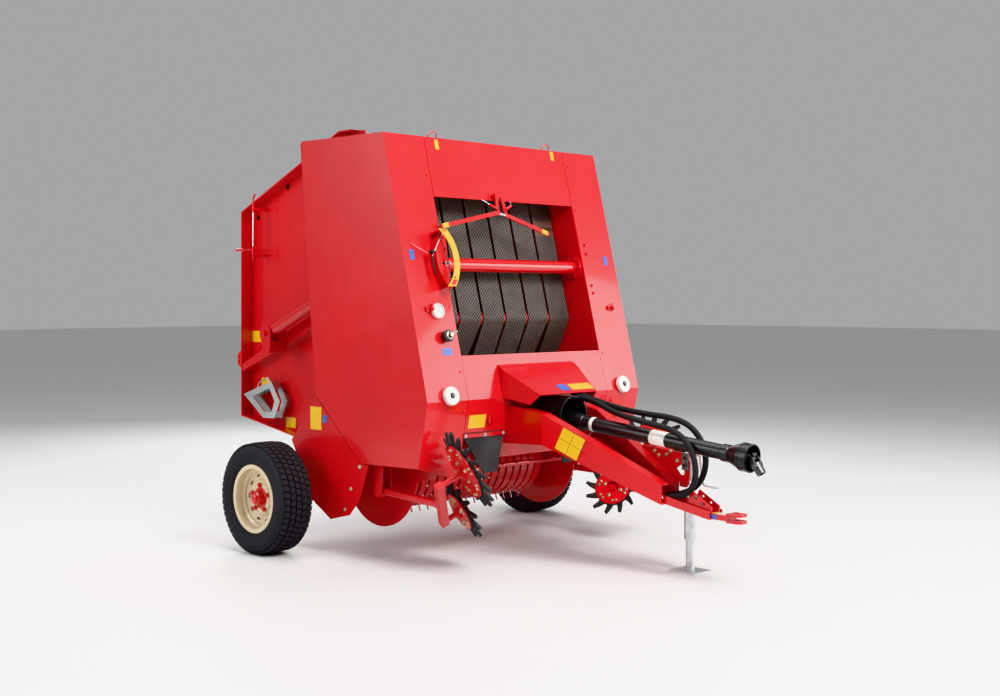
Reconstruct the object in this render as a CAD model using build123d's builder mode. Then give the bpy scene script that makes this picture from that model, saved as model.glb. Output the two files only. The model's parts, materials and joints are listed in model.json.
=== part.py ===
from build123d import *
from math import cos, hypot, radians, sin
import os

# Round baler, variable chamber, standing on its parking jack.
# Millimetres. +X points to the towing tractor, +Y to the machine's left, +Z up.
# Places along X are measured from the axle and drawn on planes that start there.

# Reach of the machine before and behind its axle
FRONT_REACH = 2820
REAR_REACH = 1000
AXLE_X = (REAR_REACH - FRONT_REACH) / 2

# Clearances and sheet thicknesses
SEAT = 0.3            # between neighbours that are bolted together
RUN = 0.05            # radial clearance of a pin in its bore
PANEL_SEAM = 3        # open seam between neighbouring panels
SHEET = 4             # outer panels
PLATE = 8             # chamber walls, pickup and tailgate plates
LAP = 1               # overlap of parts that are welded into one solid

SIDES = (("right", -1), ("left", 1))


def side(y=0.0):
    """Upright plane along the machine: X forward, Z up, drawn at this Y."""
    return Plane(origin=(AXLE_X, y, 0), x_dir=(1, 0, 0), z_dir=(0, -1, 0))


def across(x):
    """Upright plane across the machine: Y to the left, Z up, facing forward."""
    return Plane(origin=(AXLE_X + x, 0, 0), x_dir=(0, 1, 0), z_dir=(1, 0, 0))


def floor(z=0.0):
    """Level plane: X forward, Y to the left."""
    return Plane(origin=(AXLE_X, 0, z), x_dir=(1, 0, 0), z_dir=(0, 0, 1))


def place(x, y, z):
    """A point of the machine, measured from the ground under the axle."""
    return Vector(AXLE_X + x, y, z)


def finish(builder, name):
    """Label a finished piece and write it."""
    builder.part.label = name
    export_step(builder.part, f"parts/{name}.step")


def bar(plane_y, x, z, radius, far_y):
    """Round bar across the machine from one Y to another, added to the open part."""
    with BuildSketch(side(plane_y)) as section:
        with Locations((x, z)):
            Circle(radius)
    extrude(section.sketch, amount=plane_y - far_y)


def rod(start, end, radius):
    """Round rod between two points, added to the open part."""
    with BuildSketch(Plane(origin=start, z_dir=end - start)) as section:
        Circle(radius)
    extrude(section.sketch, amount=(end - start).length)


def link(plane, start, end, radius, thickness):
    """Flat bar with round ends between two spots of a plane, added to the open part."""
    with BuildSketch(plane) as section:
        with Locations(start, end):
            Circle(radius)
        make_hull()
    extrude(section.sketch, amount=thickness)


def pin_hole(plane_y, x, z, radius, far_y):
    """Round hole across the machine, cut from the open part."""
    with BuildSketch(side(plane_y)) as section:
        with Locations((x, z)):
            Circle(radius)
    extrude(section.sketch, amount=plane_y - far_y, mode=Mode.SUBTRACT)


# Front face: top edge, kink and lower edge of the outer surface
FRONT_TOP = (816, 2524)
FRONT_KINK = (1208, 968)
FRONT_FOOT = (1131, 588)


def front_x(z, inset=0.0):
    """X of the front face at a height, moved in by a distance square to it."""
    upper, lower = (FRONT_TOP, FRONT_KINK) if z > FRONT_KINK[1] else (FRONT_KINK, FRONT_FOOT)
    run, rise = lower[0] - upper[0], lower[1] - upper[1]
    return upper[0] + run * (z - upper[1]) / rise - inset * hypot(run, rise) / abs(rise)


def front_band(top, bottom):
    """Outline of the folded front sheet between two heights."""
    heights = [top, bottom] if bottom > FRONT_KINK[1] else [top, FRONT_KINK[1], bottom]
    outer = [(front_x(z), z) for z in heights]
    inner = [(front_x(z, SHEET), z) for z in reversed(heights)]
    return outer + inner


# Chamber and body
CHAMBER_WIDTH = 1220
WALL_IN = CHAMBER_WIDTH / 2
WALL_OUT = WALL_IN + PLATE
SHIELD_OUT = 930
SHIELD_IN = SHIELD_OUT - SHEET
HINGE = (330, 2520)           # tailgate hinge, on the top roller's own line
HINGE_BOSS = 56
HINGE_PIN = 30
SPLIT_FOOT = (20, 600)        # where the split between frame and tailgate ends
SPLIT_GAP = 8

# Belts and rollers
BELT_COUNT = 6
BELT_WIDTH = 180
BELT_PITCH = 199
BELT = 6
ROLLER_SHAFT = 22
FRONT_ROLLERS = (
    # name, x, z, radius
    ("top", HINGE[0], HINGE[1], 68),
    ("upper front", 600, 2360, 60),
    ("middle front", 852, 1430, 45),
    ("lower front", 620, 990, 75),
    ("floor", 100, 790, 75),
)
GATE_ROLLERS = (
    ("beside the hinge", 194, 2468, 50),
    ("upper rear", -800, 2055, 60),
    ("lower rear", -800, 872, 60),
    ("lower front", -128, 745, 60),
)

# Wheels
TYRE_RADIUS = 340
TYRE_WIDTH = 230
WHEEL_Y = 1170
RIM_FLANGE = 207.5
RIM_WIDTH = 196
AXLE_Z = TYRE_RADIUS
AXLE_BEAM = 100
HUB_RADIUS = 78
SPINDLE = 28

# Tailgate
GATE_REAR = -958
GATE_LOW = 752
GATE_HIGH = 2150
GATE_TOP_SLOPE = 0.428
GATE_BOTTOM_SLOPE = 0.165
GATE_FLANGE = 85

# Tailgate cylinders
CYLINDER_Y = 790
CYLINDER_FOOT = (-496, 1328)
CYLINDER_HEAD = (550, 1755)
CYLINDER_PIN = 20
CYLINDER_BARREL = 40
CYLINDER_ROD = 20
BARREL_LENGTH = 800
EYE_RADIUS = 38
EYE_WIDTH = 56

# Pickup
REEL = (500, 485)             # the tines turn about a line ahead of the bands' middle
TINE_REACH = 260
TINE_PITCH = 67
TINE_COUNT = 16
TINE_BARS = 4
TINE = 7
SPIDER_Y = 7 * TINE_PITCH
TINE_BAR_HALF = 520
PICKUP_Y = 690
PICKUP_DISC = 335
DISC_CENTRE = (520, 505)
PICKUP_PIVOT = (140, 500)
PICKUP_BOSS = 60
PICKUP_PIN = 25
BAND_CENTRE = (430, 500)
BAND_RADIUS = 250
BAND = 6
BAND_WIDTH = 49
BAND_OPEN = (140, 270)        # where the bands are open at the back, along X
UPPER_RAIL = (275, 690)
LOWER_RAIL = (275, 310)
RAIL = 16
REEL_SHAFT = 28
TINE_BAR = 15
TINE_BAR_CIRCLE = 130
PRESS_BAR = (985, 532)
PRESS_BAR_RADIUS = 15
PRESS_ARM = 22

# Gathering wheels with rubber fingers
GATHER_AXLE = Vector(-0.341, 0.813, -0.471)   # towards the post, for the left side
GATHER_WHEELS = (
    # name, x, y, z, disc radius, finger radius, distance to the post, fingers
    ("upper", 1395, 826, 590, 163, 245, 165, 16),
    ("lower", 1207, 683, 330, 115, 188, 108, 12),
)
FINGER = 10
FINGER_ROOT = 17
FINGER_HOOK = 14
GATHER_PIN = 14
GATHER_HINGE = (700, 830, 415)
GATHER_TUBE = 22
POST = 46
POST_END = 18
GUSSET = 8

# Drawbar
DRAWBAR_Y = 280
DRAWBAR_FOLD = 1475
DRAWBAR_FRONT = 2195
DRAWBAR_FRONT_Y = 82
DRAWBAR_FLANGE = 76
DRAWBAR_TOP = ((1215, 920), (1475, 884), (2195, 526))
DRAWBAR_BOTTOM = ((1175, 694), (1475, 704), (2195, 412))
HITCH_Z = 380
HITCH_TIP = 2690
HITCH_BORE = 16

# Parking jack
JACK = (2166, 220)
JACK_TUBE = 34
JACK_LEG = 25
JACK_FOOT = 180
JACK_COLLAR_Z = 183
JACK_TOP_Z = 640

# Driveline to the tractor
SHAFT_GUARD_REAR = (1574, 822)
SHAFT_GUARD_FRONT = (2726, 709)
SHAFT_TUBE = 42
YOKE_BORE = 17.5
YOKE_SHAFT = 20
SHROUD = 115
SHROUD_FRONT = 1475
SHROUD_REAR = 1262
SHROUD_Z = 855

HOSE_RADIUS = 17

os.makedirs("parts", exist_ok=True)

# Frame: chamber walls

def split_x(z, gap=0.0):
    """X of the split line between frame and tailgate at a height."""
    share = (z - SPLIT_FOOT[1]) / (HINGE[1] - SPLIT_FOOT[1])
    return SPLIT_FOOT[0] + (HINGE[0] - SPLIT_FOOT[0]) * share + gap


WALL_ARCH = 905       # underside of the wall above the pickup
WALL_BELLY = 600
WALL_LIP = 700        # and behind the front panel
WALL_FOOT = AXLE_Z + AXLE_BEAM / 2 + SEAT
WALL_TOP = 2500
for name, s in SIDES:
    with BuildPart() as wall:
        with BuildSketch(side(s * WALL_IN)):
            with BuildLine():
                Polyline(
                    (-60, WALL_FOOT), (200, WALL_FOOT), (200, WALL_BELLY), (262, 800), (450, WALL_ARCH),
                    (820, WALL_ARCH), (975, 800), (990, WALL_LIP), (front_x(WALL_LIP, SHEET + SEAT), WALL_LIP),
                    (front_x(FRONT_KINK[1], SHEET + SEAT), FRONT_KINK[1]),
                    (front_x(WALL_TOP, SHEET + SEAT), WALL_TOP), (HINGE[0] + 60, WALL_TOP),
                    (split_x(2380, SPLIT_GAP), 2380), (split_x(WALL_BELLY, SPLIT_GAP), WALL_BELLY),
                    (split_x(WALL_BELLY, SPLIT_GAP), WALL_BELLY - 30), (-60, WALL_BELLY - 30), close=True,
                )
            make_face()
            with Locations(HINGE):
                Circle(HINGE_BOSS)
        extrude(amount=-s * PLATE)
        bar(s * (WALL_OUT - LAP), *HINGE, HINGE_PIN, s * (WALL_OUT + 40))
        bar(s * (WALL_OUT - LAP), *PICKUP_PIVOT, PICKUP_PIN, s * (PICKUP_Y + PLATE + 12))
        bar(s * (WALL_OUT - LAP), *PICKUP_PIVOT, PICKUP_PIN + 15, s * (PICKUP_Y - 5))
    finish(wall, f"chamber_wall_{name}")

# Axle beam with its spindles
with BuildPart() as axle:
    with BuildSketch(side(-SHIELD_OUT)):
        with Locations((0, AXLE_Z)):
            Rectangle(AXLE_BEAM, AXLE_BEAM)
    extrude(amount=-2 * SHIELD_OUT)
    for name, s in SIDES:
        bar(s * (SHIELD_OUT - LAP), 0, AXLE_Z, SPINDLE, s * (WHEEL_Y + 20))
finish(axle, "axle_beam")

# Cross members between the walls
CROSS_BEAMS = (
    # x, z, length along X, height
    (1056, 775, 90, 150),
    (1089, 651, 8, 101),
    (735, 2440, 70, 70),
    (450, 2450, 60, 60),
)
with BuildPart() as beams:
    for x, z, length, height in CROSS_BEAMS:
        with BuildSketch(side(-(WALL_IN - SEAT))):
            with Locations((x, z)):
                Rectangle(length, height)
        extrude(amount=-2 * (WALL_IN - SEAT))
finish(beams, "cross_beams")

# Stays that carry the side panels from the walls
STAY = 16
PANEL_STAYS = (
    # x, z
    (420, 2420), (760, 2380), (230, 1180), (1090, 1080), (1060, 800), (90, 660), (210, 850),
)
with BuildPart() as stays:
    for x, z in PANEL_STAYS:
        for name, s in SIDES:
            bar(s * (WALL_OUT + SEAT), x, z, STAY, s * (SHIELD_IN - SEAT))
finish(stays, "panel_stays")

# Side panels, folded round the front corner down to their seam
PANEL_CORNER = (613, 578)
PANEL_APEX = (188, 958)
PANEL_TOP_REAR = (32, 2532)
COLUMN_FOOT = 500
SEAM_Y = WALL_IN + PANEL_SEAM
for name, s in SIDES:
    with BuildPart() as panel:
        with BuildSketch(side(s * SHIELD_IN)):
            with BuildLine():
                Polyline(PANEL_TOP_REAR, FRONT_TOP, FRONT_KINK, FRONT_FOOT, PANEL_CORNER, PANEL_APEX, close=True)
            make_face()
        extrude(amount=-s * SHEET)
        with BuildPart(mode=Mode.PRIVATE) as column:
            with BuildSketch(side(s * SEAM_Y)):
                with BuildLine():
                    Polyline(*front_band(FRONT_TOP[1], COLUMN_FOOT), close=True)
                make_face()
            extrude(amount=-s * (SHIELD_OUT - SEAM_Y))
            with BuildSketch(across(0)):
                with BuildLine():
                    Polyline(
                        (s * SEAM_Y, FRONT_TOP[1]), (s * SHIELD_OUT, FRONT_TOP[1]),
                        (s * SHIELD_OUT, FRONT_FOOT[1]), (s * SEAM_Y, COLUMN_FOOT), close=True,
                    )
                make_face()
            extrude(amount=2 * FRONT_KINK[0], mode=Mode.INTERSECT)
        add(column.part)
    finish(panel, f"side_panel_{name}")

# Lower guards behind the wheels, below the diagonal seam
GUARD_OUTLINE = ((-68, 669), (171, 300), (238, 266), (328, 216), (512, 262), (598, 355), (687, 574))
for name, s in SIDES:
    with BuildPart() as guard:
        with BuildSketch(side(s * SHIELD_IN)):
            with BuildLine():
                Polyline(
                    (PANEL_APEX[0] - 4, PANEL_APEX[1] - 4), *GUARD_OUTLINE,
                    (PANEL_CORNER[0] - 2, PANEL_CORNER[1] - 4), close=True,
                )
            make_face()
        extrude(amount=-s * SHEET)
    finish(guard, f"lower_guard_{name}")

# Front panels above and below the belt window
WINDOW_TOP = 2160
WINDOW_SILL = 1222
LOWER_EDGE = 775
with BuildPart() as front_panels:
    for top, bottom in ((FRONT_TOP[1], WINDOW_TOP), (WINDOW_SILL, LOWER_EDGE)):
        with BuildSketch(side(-WALL_IN)):
            with BuildLine():
                Polyline(*front_band(top, bottom), close=True)
            make_face()
        extrude(amount=-2 * WALL_IN)
finish(front_panels, "front_panels")

# Rubber flaps below the front panel, beside the drawbar
FLAP = 8
FLAP_TOP = LOWER_EDGE - SEAT
FLAP_LOW = 520
FLAP_CORNERS = ((286, FLAP_TOP), (WALL_IN - 5, FLAP_TOP), (WALL_IN - 5, 740), (400, FLAP_LOW), (286, FLAP_LOW))
with BuildPart() as flaps:
    with BuildSketch(side(-WALL_IN)):
        with BuildLine():
            Polyline(
                (front_x(FLAP_TOP), FLAP_TOP), (front_x(FLAP_LOW), FLAP_LOW),
                (front_x(FLAP_LOW, FLAP), FLAP_LOW), (front_x(FLAP_TOP, FLAP), FLAP_TOP), close=True,
            )
        make_face()
    extrude(amount=-2 * WALL_IN)
    with BuildSketch(across(900)):
        for name, s in SIDES:
            with BuildLine():
                Polyline(*[(s * y, z) for y, z in FLAP_CORNERS], close=True)
            make_face()
    extrude(amount=400, mode=Mode.INTERSECT)
finish(flaps, "crop_flaps")

# Rollers in the frame and in the tailgate

def roller_set(table, half_length, name):
    """Drums with their shafts, one solid each."""
    with BuildPart() as rollers:
        for label, x, z, radius in table:
            bar(-half_length + 20, x, z, radius, half_length - 20)
            bar(-half_length + SEAT, x, z, ROLLER_SHAFT, half_length - SEAT)
    finish(rollers, name)


roller_set(FRONT_ROLLERS, WALL_IN, "frame_rollers")
roller_set(GATE_ROLLERS, WALL_IN, "tailgate_rollers")


def belt_set(table, name):
    """Six belts side by side, each one loop round the rollers of a table."""
    half = (BELT_COUNT - 1) / 2 * BELT_PITCH + BELT_WIDTH / 2
    with BuildPart() as belts:
        for grow, mode in ((BELT + SEAT, Mode.ADD), (SEAT, Mode.SUBTRACT)):
            with BuildSketch(side(-half)):
                for label, x, z, radius in table:
                    with Locations((x, z)):
                        Circle(radius + grow)
                make_hull()
            extrude(amount=-2 * half, mode=mode)
        # The gaps between the belts
        with BuildSketch(floor()):
            with GridLocations(0, BELT_PITCH, 1, BELT_COUNT - 1):
                Rectangle(4000, BELT_PITCH - BELT_WIDTH)
        extrude(amount=3000, mode=Mode.SUBTRACT)
    finish(belts, name)


belt_set(FRONT_ROLLERS[:4], "front_belts")
belt_set(GATE_ROLLERS, "tailgate_belts")

# Tailgate sides with their turned-out flange, hinge strap, cylinder seat and brace
GATE_NOSE = 76


def gate_top(x):
    """Height of the tailgate's upper edge."""
    return GATE_HIGH + GATE_TOP_SLOPE * (x - GATE_REAR)


def gate_bottom(x):
    """Height of the tailgate's lower edge."""
    return GATE_LOW - GATE_BOTTOM_SLOPE * (x - GATE_REAR)


def gate_outline(inset=0.0):
    """Corners of the tailgate's side, moved in by a distance."""
    front_low = SPLIT_FOOT[0] - SPLIT_GAP
    return (
        (GATE_REAR + inset, gate_bottom(GATE_REAR) + inset), (GATE_REAR + inset, gate_top(GATE_REAR) - inset),
        (120, gate_top(120) - inset), (HINGE[0] - 60, gate_top(120) - inset),
        (split_x(2420, -SPLIT_GAP), 2420),
        (split_x(gate_bottom(front_low) + inset, -SPLIT_GAP), gate_bottom(front_low) + inset),
    )


BRACE = 100
BRACE_REAR = (-948, 1106)
BRACE_FRONT = (-120, 1475)
SEAT_OUT = 700
EAR = 10
EAR_GAP = EYE_WIDTH / 2 + 4
for name, s in SIDES:
    with BuildPart() as gate:
        with BuildSketch(side(s * WALL_IN)):
            with BuildLine():
                Polyline(*gate_outline(), close=True)
            make_face()
            with Locations(HINGE):
                Circle(GATE_NOSE + SPLIT_GAP, mode=Mode.SUBTRACT)
        extrude(amount=-s * PLATE)
        # Flange round the edge
        with BuildSketch(side(s * (WALL_OUT - LAP))):
            with BuildLine():
                Polyline(*gate_outline(), close=True)
            make_face()
            with BuildLine():
                Polyline(*gate_outline(PLATE), close=True)
            make_face(mode=Mode.SUBTRACT)
            with Locations(HINGE):
                Circle(GATE_NOSE + 60, mode=Mode.SUBTRACT)
        extrude(amount=-s * (GATE_FLANGE + LAP))
        # The flange leaves the split line free
        with BuildSketch(side(s * (WALL_OUT + SEAT))):
            with BuildLine():
                Polyline(
                    (split_x(2330, -SPLIT_GAP - 30), 2330), (split_x(2330, 10), 2330),
                    (split_x(640, 10), 640), (split_x(640, -SPLIT_GAP - 30), 640), close=True,
                )
            make_face()
        extrude(amount=-s * GATE_FLANGE, mode=Mode.SUBTRACT)
        # Hinge strap over the pin
        with BuildSketch(side(s * (WALL_OUT + 4))):
            with Locations(HINGE):
                Circle(HINGE_BOSS)
            with Locations((120, 2440)):
                Circle(HINGE_BOSS)
            make_hull()
        extrude(amount=-s * 14)
        with BuildSketch(side(s * (WALL_OUT - LAP))):
            with Locations((120, 2440)):
                Circle(HINGE_BOSS)
        extrude(amount=-s * 14)
        pin_hole(s * (WALL_IN - 5), *HINGE, HINGE_PIN + RUN, s * (WALL_OUT + 60))
        # Brace along the side, and the cylinder's seat on it
        with BuildSketch(side(s * (WALL_OUT - LAP))):
            with BuildLine():
                Polyline(
                    BRACE_REAR, BRACE_FRONT, (BRACE_FRONT[0], BRACE_FRONT[1] - BRACE),
                    (BRACE_REAR[0], BRACE_REAR[1] - BRACE / 2), close=True,
                )
            make_face()
        extrude(amount=-s * (SEAT_OUT - WALL_OUT + LAP))
        with BuildSketch(side(s * (SEAT_OUT - LAP))):
            with Locations((CYLINDER_FOOT[0], CYLINDER_FOOT[1])):
                Circle(60)
            with Locations((CYLINDER_FOOT[0] + 20, CYLINDER_FOOT[1] - 90)):
                Circle(40)
            make_hull()
        extrude(amount=-s * (CYLINDER_Y + EAR_GAP + EAR - SEAT_OUT + LAP))
        with BuildSketch(side(s * (CYLINDER_Y - EAR_GAP))):
            with BuildLine():
                Polyline(
                    (CYLINDER_FOOT[0] - 80, CYLINDER_FOOT[1] - 52), (CYLINDER_FOOT[0] + 120, CYLINDER_FOOT[1] - 52),
                    (CYLINDER_FOOT[0] + 120, CYLINDER_FOOT[1] + 90), (CYLINDER_FOOT[0] - 80, CYLINDER_FOOT[1] + 90),
                    close=True,
                )
            make_face()
        extrude(amount=-s * 2 * EAR_GAP, mode=Mode.SUBTRACT)
        bar(s * (CYLINDER_Y - EAR_GAP - LAP), *CYLINDER_FOOT, CYLINDER_PIN, s * (CYLINDER_Y + EAR_GAP + LAP))
        # Lug at the rear edge
        with BuildSketch(side(s * (WALL_OUT + GATE_FLANGE - 12))):
            with BuildLine():
                Polyline((GATE_REAR + LAP, 1080), (GATE_REAR + LAP, 1200), (-REAR_REACH, 1175), (-REAR_REACH, 1105), close=True)
            make_face()
            with Locations((-REAR_REACH + 20, 1125), (-REAR_REACH + 20, 1155)):
                Circle(7, mode=Mode.SUBTRACT)
        extrude(amount=-s * 12)
    finish(gate, f"tailgate_side_{name}")

# Cross tubes of the tailgate
GATE_TUBES = (
    # x, z, length along X, height
    (-918, 1500, 50, 90),
    (-430, gate_top(-430) - 45, 80, 44),
    (-470, gate_bottom(-470) + 34, 80, 40),
)
with BuildPart() as tubes:
    for x, z, length, height in GATE_TUBES:
        with BuildSketch(side(-(WALL_IN - SEAT))):
            with Locations((x, z)):
                Rectangle(length, height)
        extrude(amount=-2 * (WALL_IN - SEAT))
finish(tubes, "tailgate_beams")

# Tailgate cylinders, drawn along their own line at rest
STROKE_DX = CYLINDER_HEAD[0] - CYLINDER_FOOT[0]
STROKE_DZ = CYLINDER_HEAD[1] - CYLINDER_FOOT[1]
CYLINDER_LENGTH = hypot(STROKE_DX, STROKE_DZ)
ALONG = Vector(STROKE_DX / CYLINDER_LENGTH, 0, STROKE_DZ / CYLINDER_LENGTH)
ROD_START = 115
BARREL_START = 78
for name, s in SIDES:
    foot = place(CYLINDER_FOOT[0], s * CYLINDER_Y, CYLINDER_FOOT[1])
    with BuildPart() as barrel:
        bar(s * (CYLINDER_Y - EYE_WIDTH / 2), *CYLINDER_FOOT, EYE_RADIUS, s * (CYLINDER_Y + EYE_WIDTH / 2))
        rod(foot + ALONG * 30, foot + ALONG * BARREL_START, EYE_WIDTH / 2 - 2)
        rod(foot + ALONG * (BARREL_START - LAP), foot + ALONG * BARREL_LENGTH, CYLINDER_BARREL)
        rod(foot + ALONG * (BARREL_LENGTH - 40), foot + ALONG * (BARREL_LENGTH + 12), CYLINDER_BARREL + 5)
        with BuildSketch(Plane(origin=foot + ALONG * (ROD_START - 10), z_dir=ALONG)):
            Circle(CYLINDER_ROD + RUN)
        extrude(amount=BARREL_LENGTH, mode=Mode.SUBTRACT)
        pin_hole(s * (CYLINDER_Y - 60), *CYLINDER_FOOT, CYLINDER_PIN + RUN, s * (CYLINDER_Y + 60))
    finish(barrel, f"tailgate_cylinder_{name}")
    with BuildPart() as ram:
        rod(foot + ALONG * ROD_START, foot + ALONG * (CYLINDER_LENGTH - 20), CYLINDER_ROD)
        bar(s * (CYLINDER_Y - EYE_WIDTH / 2), *CYLINDER_HEAD, EYE_RADIUS, s * (CYLINDER_Y + EYE_WIDTH / 2))
    finish(ram, f"tailgate_rod_{name}")

# Ears on the wall for the rod's eye
ANCHOR_X = CYLINDER_HEAD[0] + 110
with BuildPart() as anchors:
    for name, s in SIDES:
        with BuildSketch(side(s * (WALL_OUT + SEAT))):
            with Locations((ANCHOR_X + 20, CYLINDER_HEAD[1])):
                Rectangle(60, 150)
        extrude(amount=-s * (CYLINDER_Y + EAR_GAP + EAR - WALL_OUT - SEAT))
        for inner in (CYLINDER_Y - EAR_GAP - EAR, CYLINDER_Y + EAR_GAP):
            with BuildSketch(side(s * inner)):
                with Locations(CYLINDER_HEAD):
                    Circle(50)
                with Locations((ANCHOR_X + 10, CYLINDER_HEAD[1] + 40), (ANCHOR_X + 10, CYLINDER_HEAD[1] - 40)):
                    Circle(30)
                make_hull()
            extrude(amount=-s * EAR)
finish(anchors, "cylinder_anchors")

# Wheels: pressed disc and rim in one, hub, tyre

def wheel_plane(s):
    """Plane of a wheel's section: first axis outwards, second axis up."""
    return Plane(origin=place(0, s * WHEEL_Y, AXLE_Z), x_dir=(0, s, 0), z_dir=(s, 0, 0))


RIM_HALF = RIM_WIDTH / 2
for name, s in SIDES:
    middle = Axis(place(0, s * WHEEL_Y, AXLE_Z), (0, s, 0))
    with BuildPart() as rim:
        with BuildSketch(wheel_plane(s)):
            with BuildLine():
                Polyline(
                    (-RIM_HALF, RIM_FLANGE), (-RIM_HALF + 6, RIM_FLANGE), (-RIM_HALF + 8, 188), (-50, 184),
                    (-38, 168), (38, 168), (50, 184), (RIM_HALF - 8, 188), (RIM_HALF - 6, RIM_FLANGE),
                    (RIM_HALF, RIM_FLANGE), (RIM_HALF, 182), (54, 178), (42, 161), (34, 161), (20, 118),
                    (34, 104), (34, HUB_RADIUS), (24, HUB_RADIUS), (24, 98), (10, 118), (22, 161),
                    (-42, 161), (-54, 178), (-RIM_HALF, 182), close=True,
                )
            make_face()
        revolve(axis=middle)
        with BuildSketch(Plane(origin=place(0, s * WHEEL_Y, AXLE_Z), x_dir=(1, 0, 0), z_dir=(0, s, 0))):
            with PolarLocations(138, 10):
                SlotOverall(34, 16, rotation=90)
        extrude(amount=60, mode=Mode.SUBTRACT)
    finish(rim, f"wheel_rim_{name}")
    with BuildPart() as hub:
        with BuildSketch(wheel_plane(s)):
            with BuildLine():
                Polyline(
                    (-60, 0), (-60, 55), (0, 55), (12, HUB_RADIUS + 14), (24 - SEAT, HUB_RADIUS + 14),
                    (24 - SEAT, HUB_RADIUS - SEAT), (40, HUB_RADIUS - SEAT), (44, 46), (76, 42), (84, 30), (84, 0),
                    close=True,
                )
            make_face()
        revolve(axis=middle)
        with BuildSketch(wheel_plane(s).offset(0)):
            with BuildLine():
                Polyline((-61, 0), (-61, SPINDLE + RUN), (30, SPINDLE + RUN), (30, 0), close=True)
            make_face()
        revolve(axis=middle, mode=Mode.SUBTRACT)
    finish(hub, f"wheel_hub_{name}")
    with BuildPart() as tyre:
        half = TYRE_WIDTH / 2
        with BuildSketch(wheel_plane(s)):
            with BuildLine():
                Polyline(
                    (-RIM_HALF + 10, 192), (-RIM_HALF - 2, RIM_FLANGE + 6), (-half + 2, 250), (-half, 280),
                    (-half + 8, 312), (-half + 32, 334), (-40, TYRE_RADIUS), (40, TYRE_RADIUS), (half - 32, 334),
                    (half - 8, 312), (half, 280), (half - 2, 250), (RIM_HALF + 2, RIM_FLANGE + 6),
                    (RIM_HALF - 10, 192), close=True,
                )
            make_face()
        revolve(axis=middle)
        # Where the bead sits on the rim
        with BuildSketch(wheel_plane(s)):
            with BuildLine():
                Polyline(
                    (-RIM_HALF - 1, RIM_FLANGE + SEAT), (-RIM_HALF + 6 + SEAT, RIM_FLANGE + SEAT),
                    (-RIM_HALF + 8 + SEAT, 188 + SEAT), (RIM_HALF - 8 - SEAT, 188 + SEAT),
                    (RIM_HALF - 6 - SEAT, RIM_FLANGE + SEAT), (RIM_HALF + 1, RIM_FLANGE + SEAT),
                    (RIM_HALF + 1, 180), (-RIM_HALF - 1, 180), close=True,
                )
            make_face()
        revolve(axis=middle, mode=Mode.SUBTRACT)
    finish(tyre, f"tyre_{name}")

# Pickup frame: two side plates joined by the rails' ends and the press bar
with BuildPart() as pickup:
    for name, s in SIDES:
        with BuildSketch(side(s * PICKUP_Y)):
            with Locations(DISC_CENTRE):
                Circle(PICKUP_DISC)
            with Locations(PICKUP_PIVOT):
                Circle(PICKUP_BOSS)
            make_hull()
            # Arm that carries the press bar
            with BuildLine():
                Polyline(
                    (DISC_CENTRE[0] + 300, DISC_CENTRE[1] - 60), (PRESS_BAR[0] + PRESS_ARM, PRESS_BAR[1] - PRESS_ARM),
                    (PRESS_BAR[0] + PRESS_ARM, PRESS_BAR[1] + PRESS_ARM), (DISC_CENTRE[0] + 300, DISC_CENTRE[1] + 80),
                    close=True,
                )
            make_face()
        extrude(amount=-s * PLATE)
        pin_hole(s * (PICKUP_Y - 5), *PICKUP_PIVOT, PICKUP_PIN + RUN, s * (PICKUP_Y + PLATE + 5))
        bar(s * (PICKUP_Y - 30), *REEL, REEL_SHAFT + 14, s * (PICKUP_Y + LAP))
        pin_hole(s * (PICKUP_Y - 40), *REEL, REEL_SHAFT + RUN, s * (PICKUP_Y + PLATE + 5))
    bar(-(PICKUP_Y + LAP), *PRESS_BAR, PRESS_BAR_RADIUS, PICKUP_Y + LAP)
finish(pickup, "pickup_frame")

# Stripper bands over the front of the pickup, on their two rails
with BuildPart() as bands:
    half = TINE_COUNT / 2 * TINE_PITCH + BAND_WIDTH / 2
    for shrink, mode in ((0, Mode.ADD), (BAND, Mode.SUBTRACT)):
        with BuildSketch(side(-half)):
            with Locations(BAND_CENTRE):
                Circle(BAND_RADIUS - shrink)
            with Locations(UPPER_RAIL, LOWER_RAIL):
                Circle(RAIL + 2 - shrink)
            make_hull()
        extrude(amount=-2 * half, mode=mode)
    # The slots the tines run in
    with BuildSketch(floor()):
        with GridLocations(0, TINE_PITCH, 1, TINE_COUNT):
            Rectangle(4000, TINE_PITCH - BAND_WIDTH)
    extrude(amount=1200, mode=Mode.SUBTRACT)
    # Open at the back, where the crop leaves
    with BuildSketch(side(-PICKUP_Y)):
        with Locations((sum(BAND_OPEN) / 2, BAND_CENTRE[1])):
            Rectangle(BAND_OPEN[1] - BAND_OPEN[0], 1.6 * BAND_RADIUS)
    extrude(amount=-2 * PICKUP_Y, mode=Mode.SUBTRACT)
    for x, z in (UPPER_RAIL, LOWER_RAIL):
        bar(-(PICKUP_Y - SEAT), x, z, RAIL, PICKUP_Y - SEAT)
finish(bands, "pickup_bands")

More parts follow.
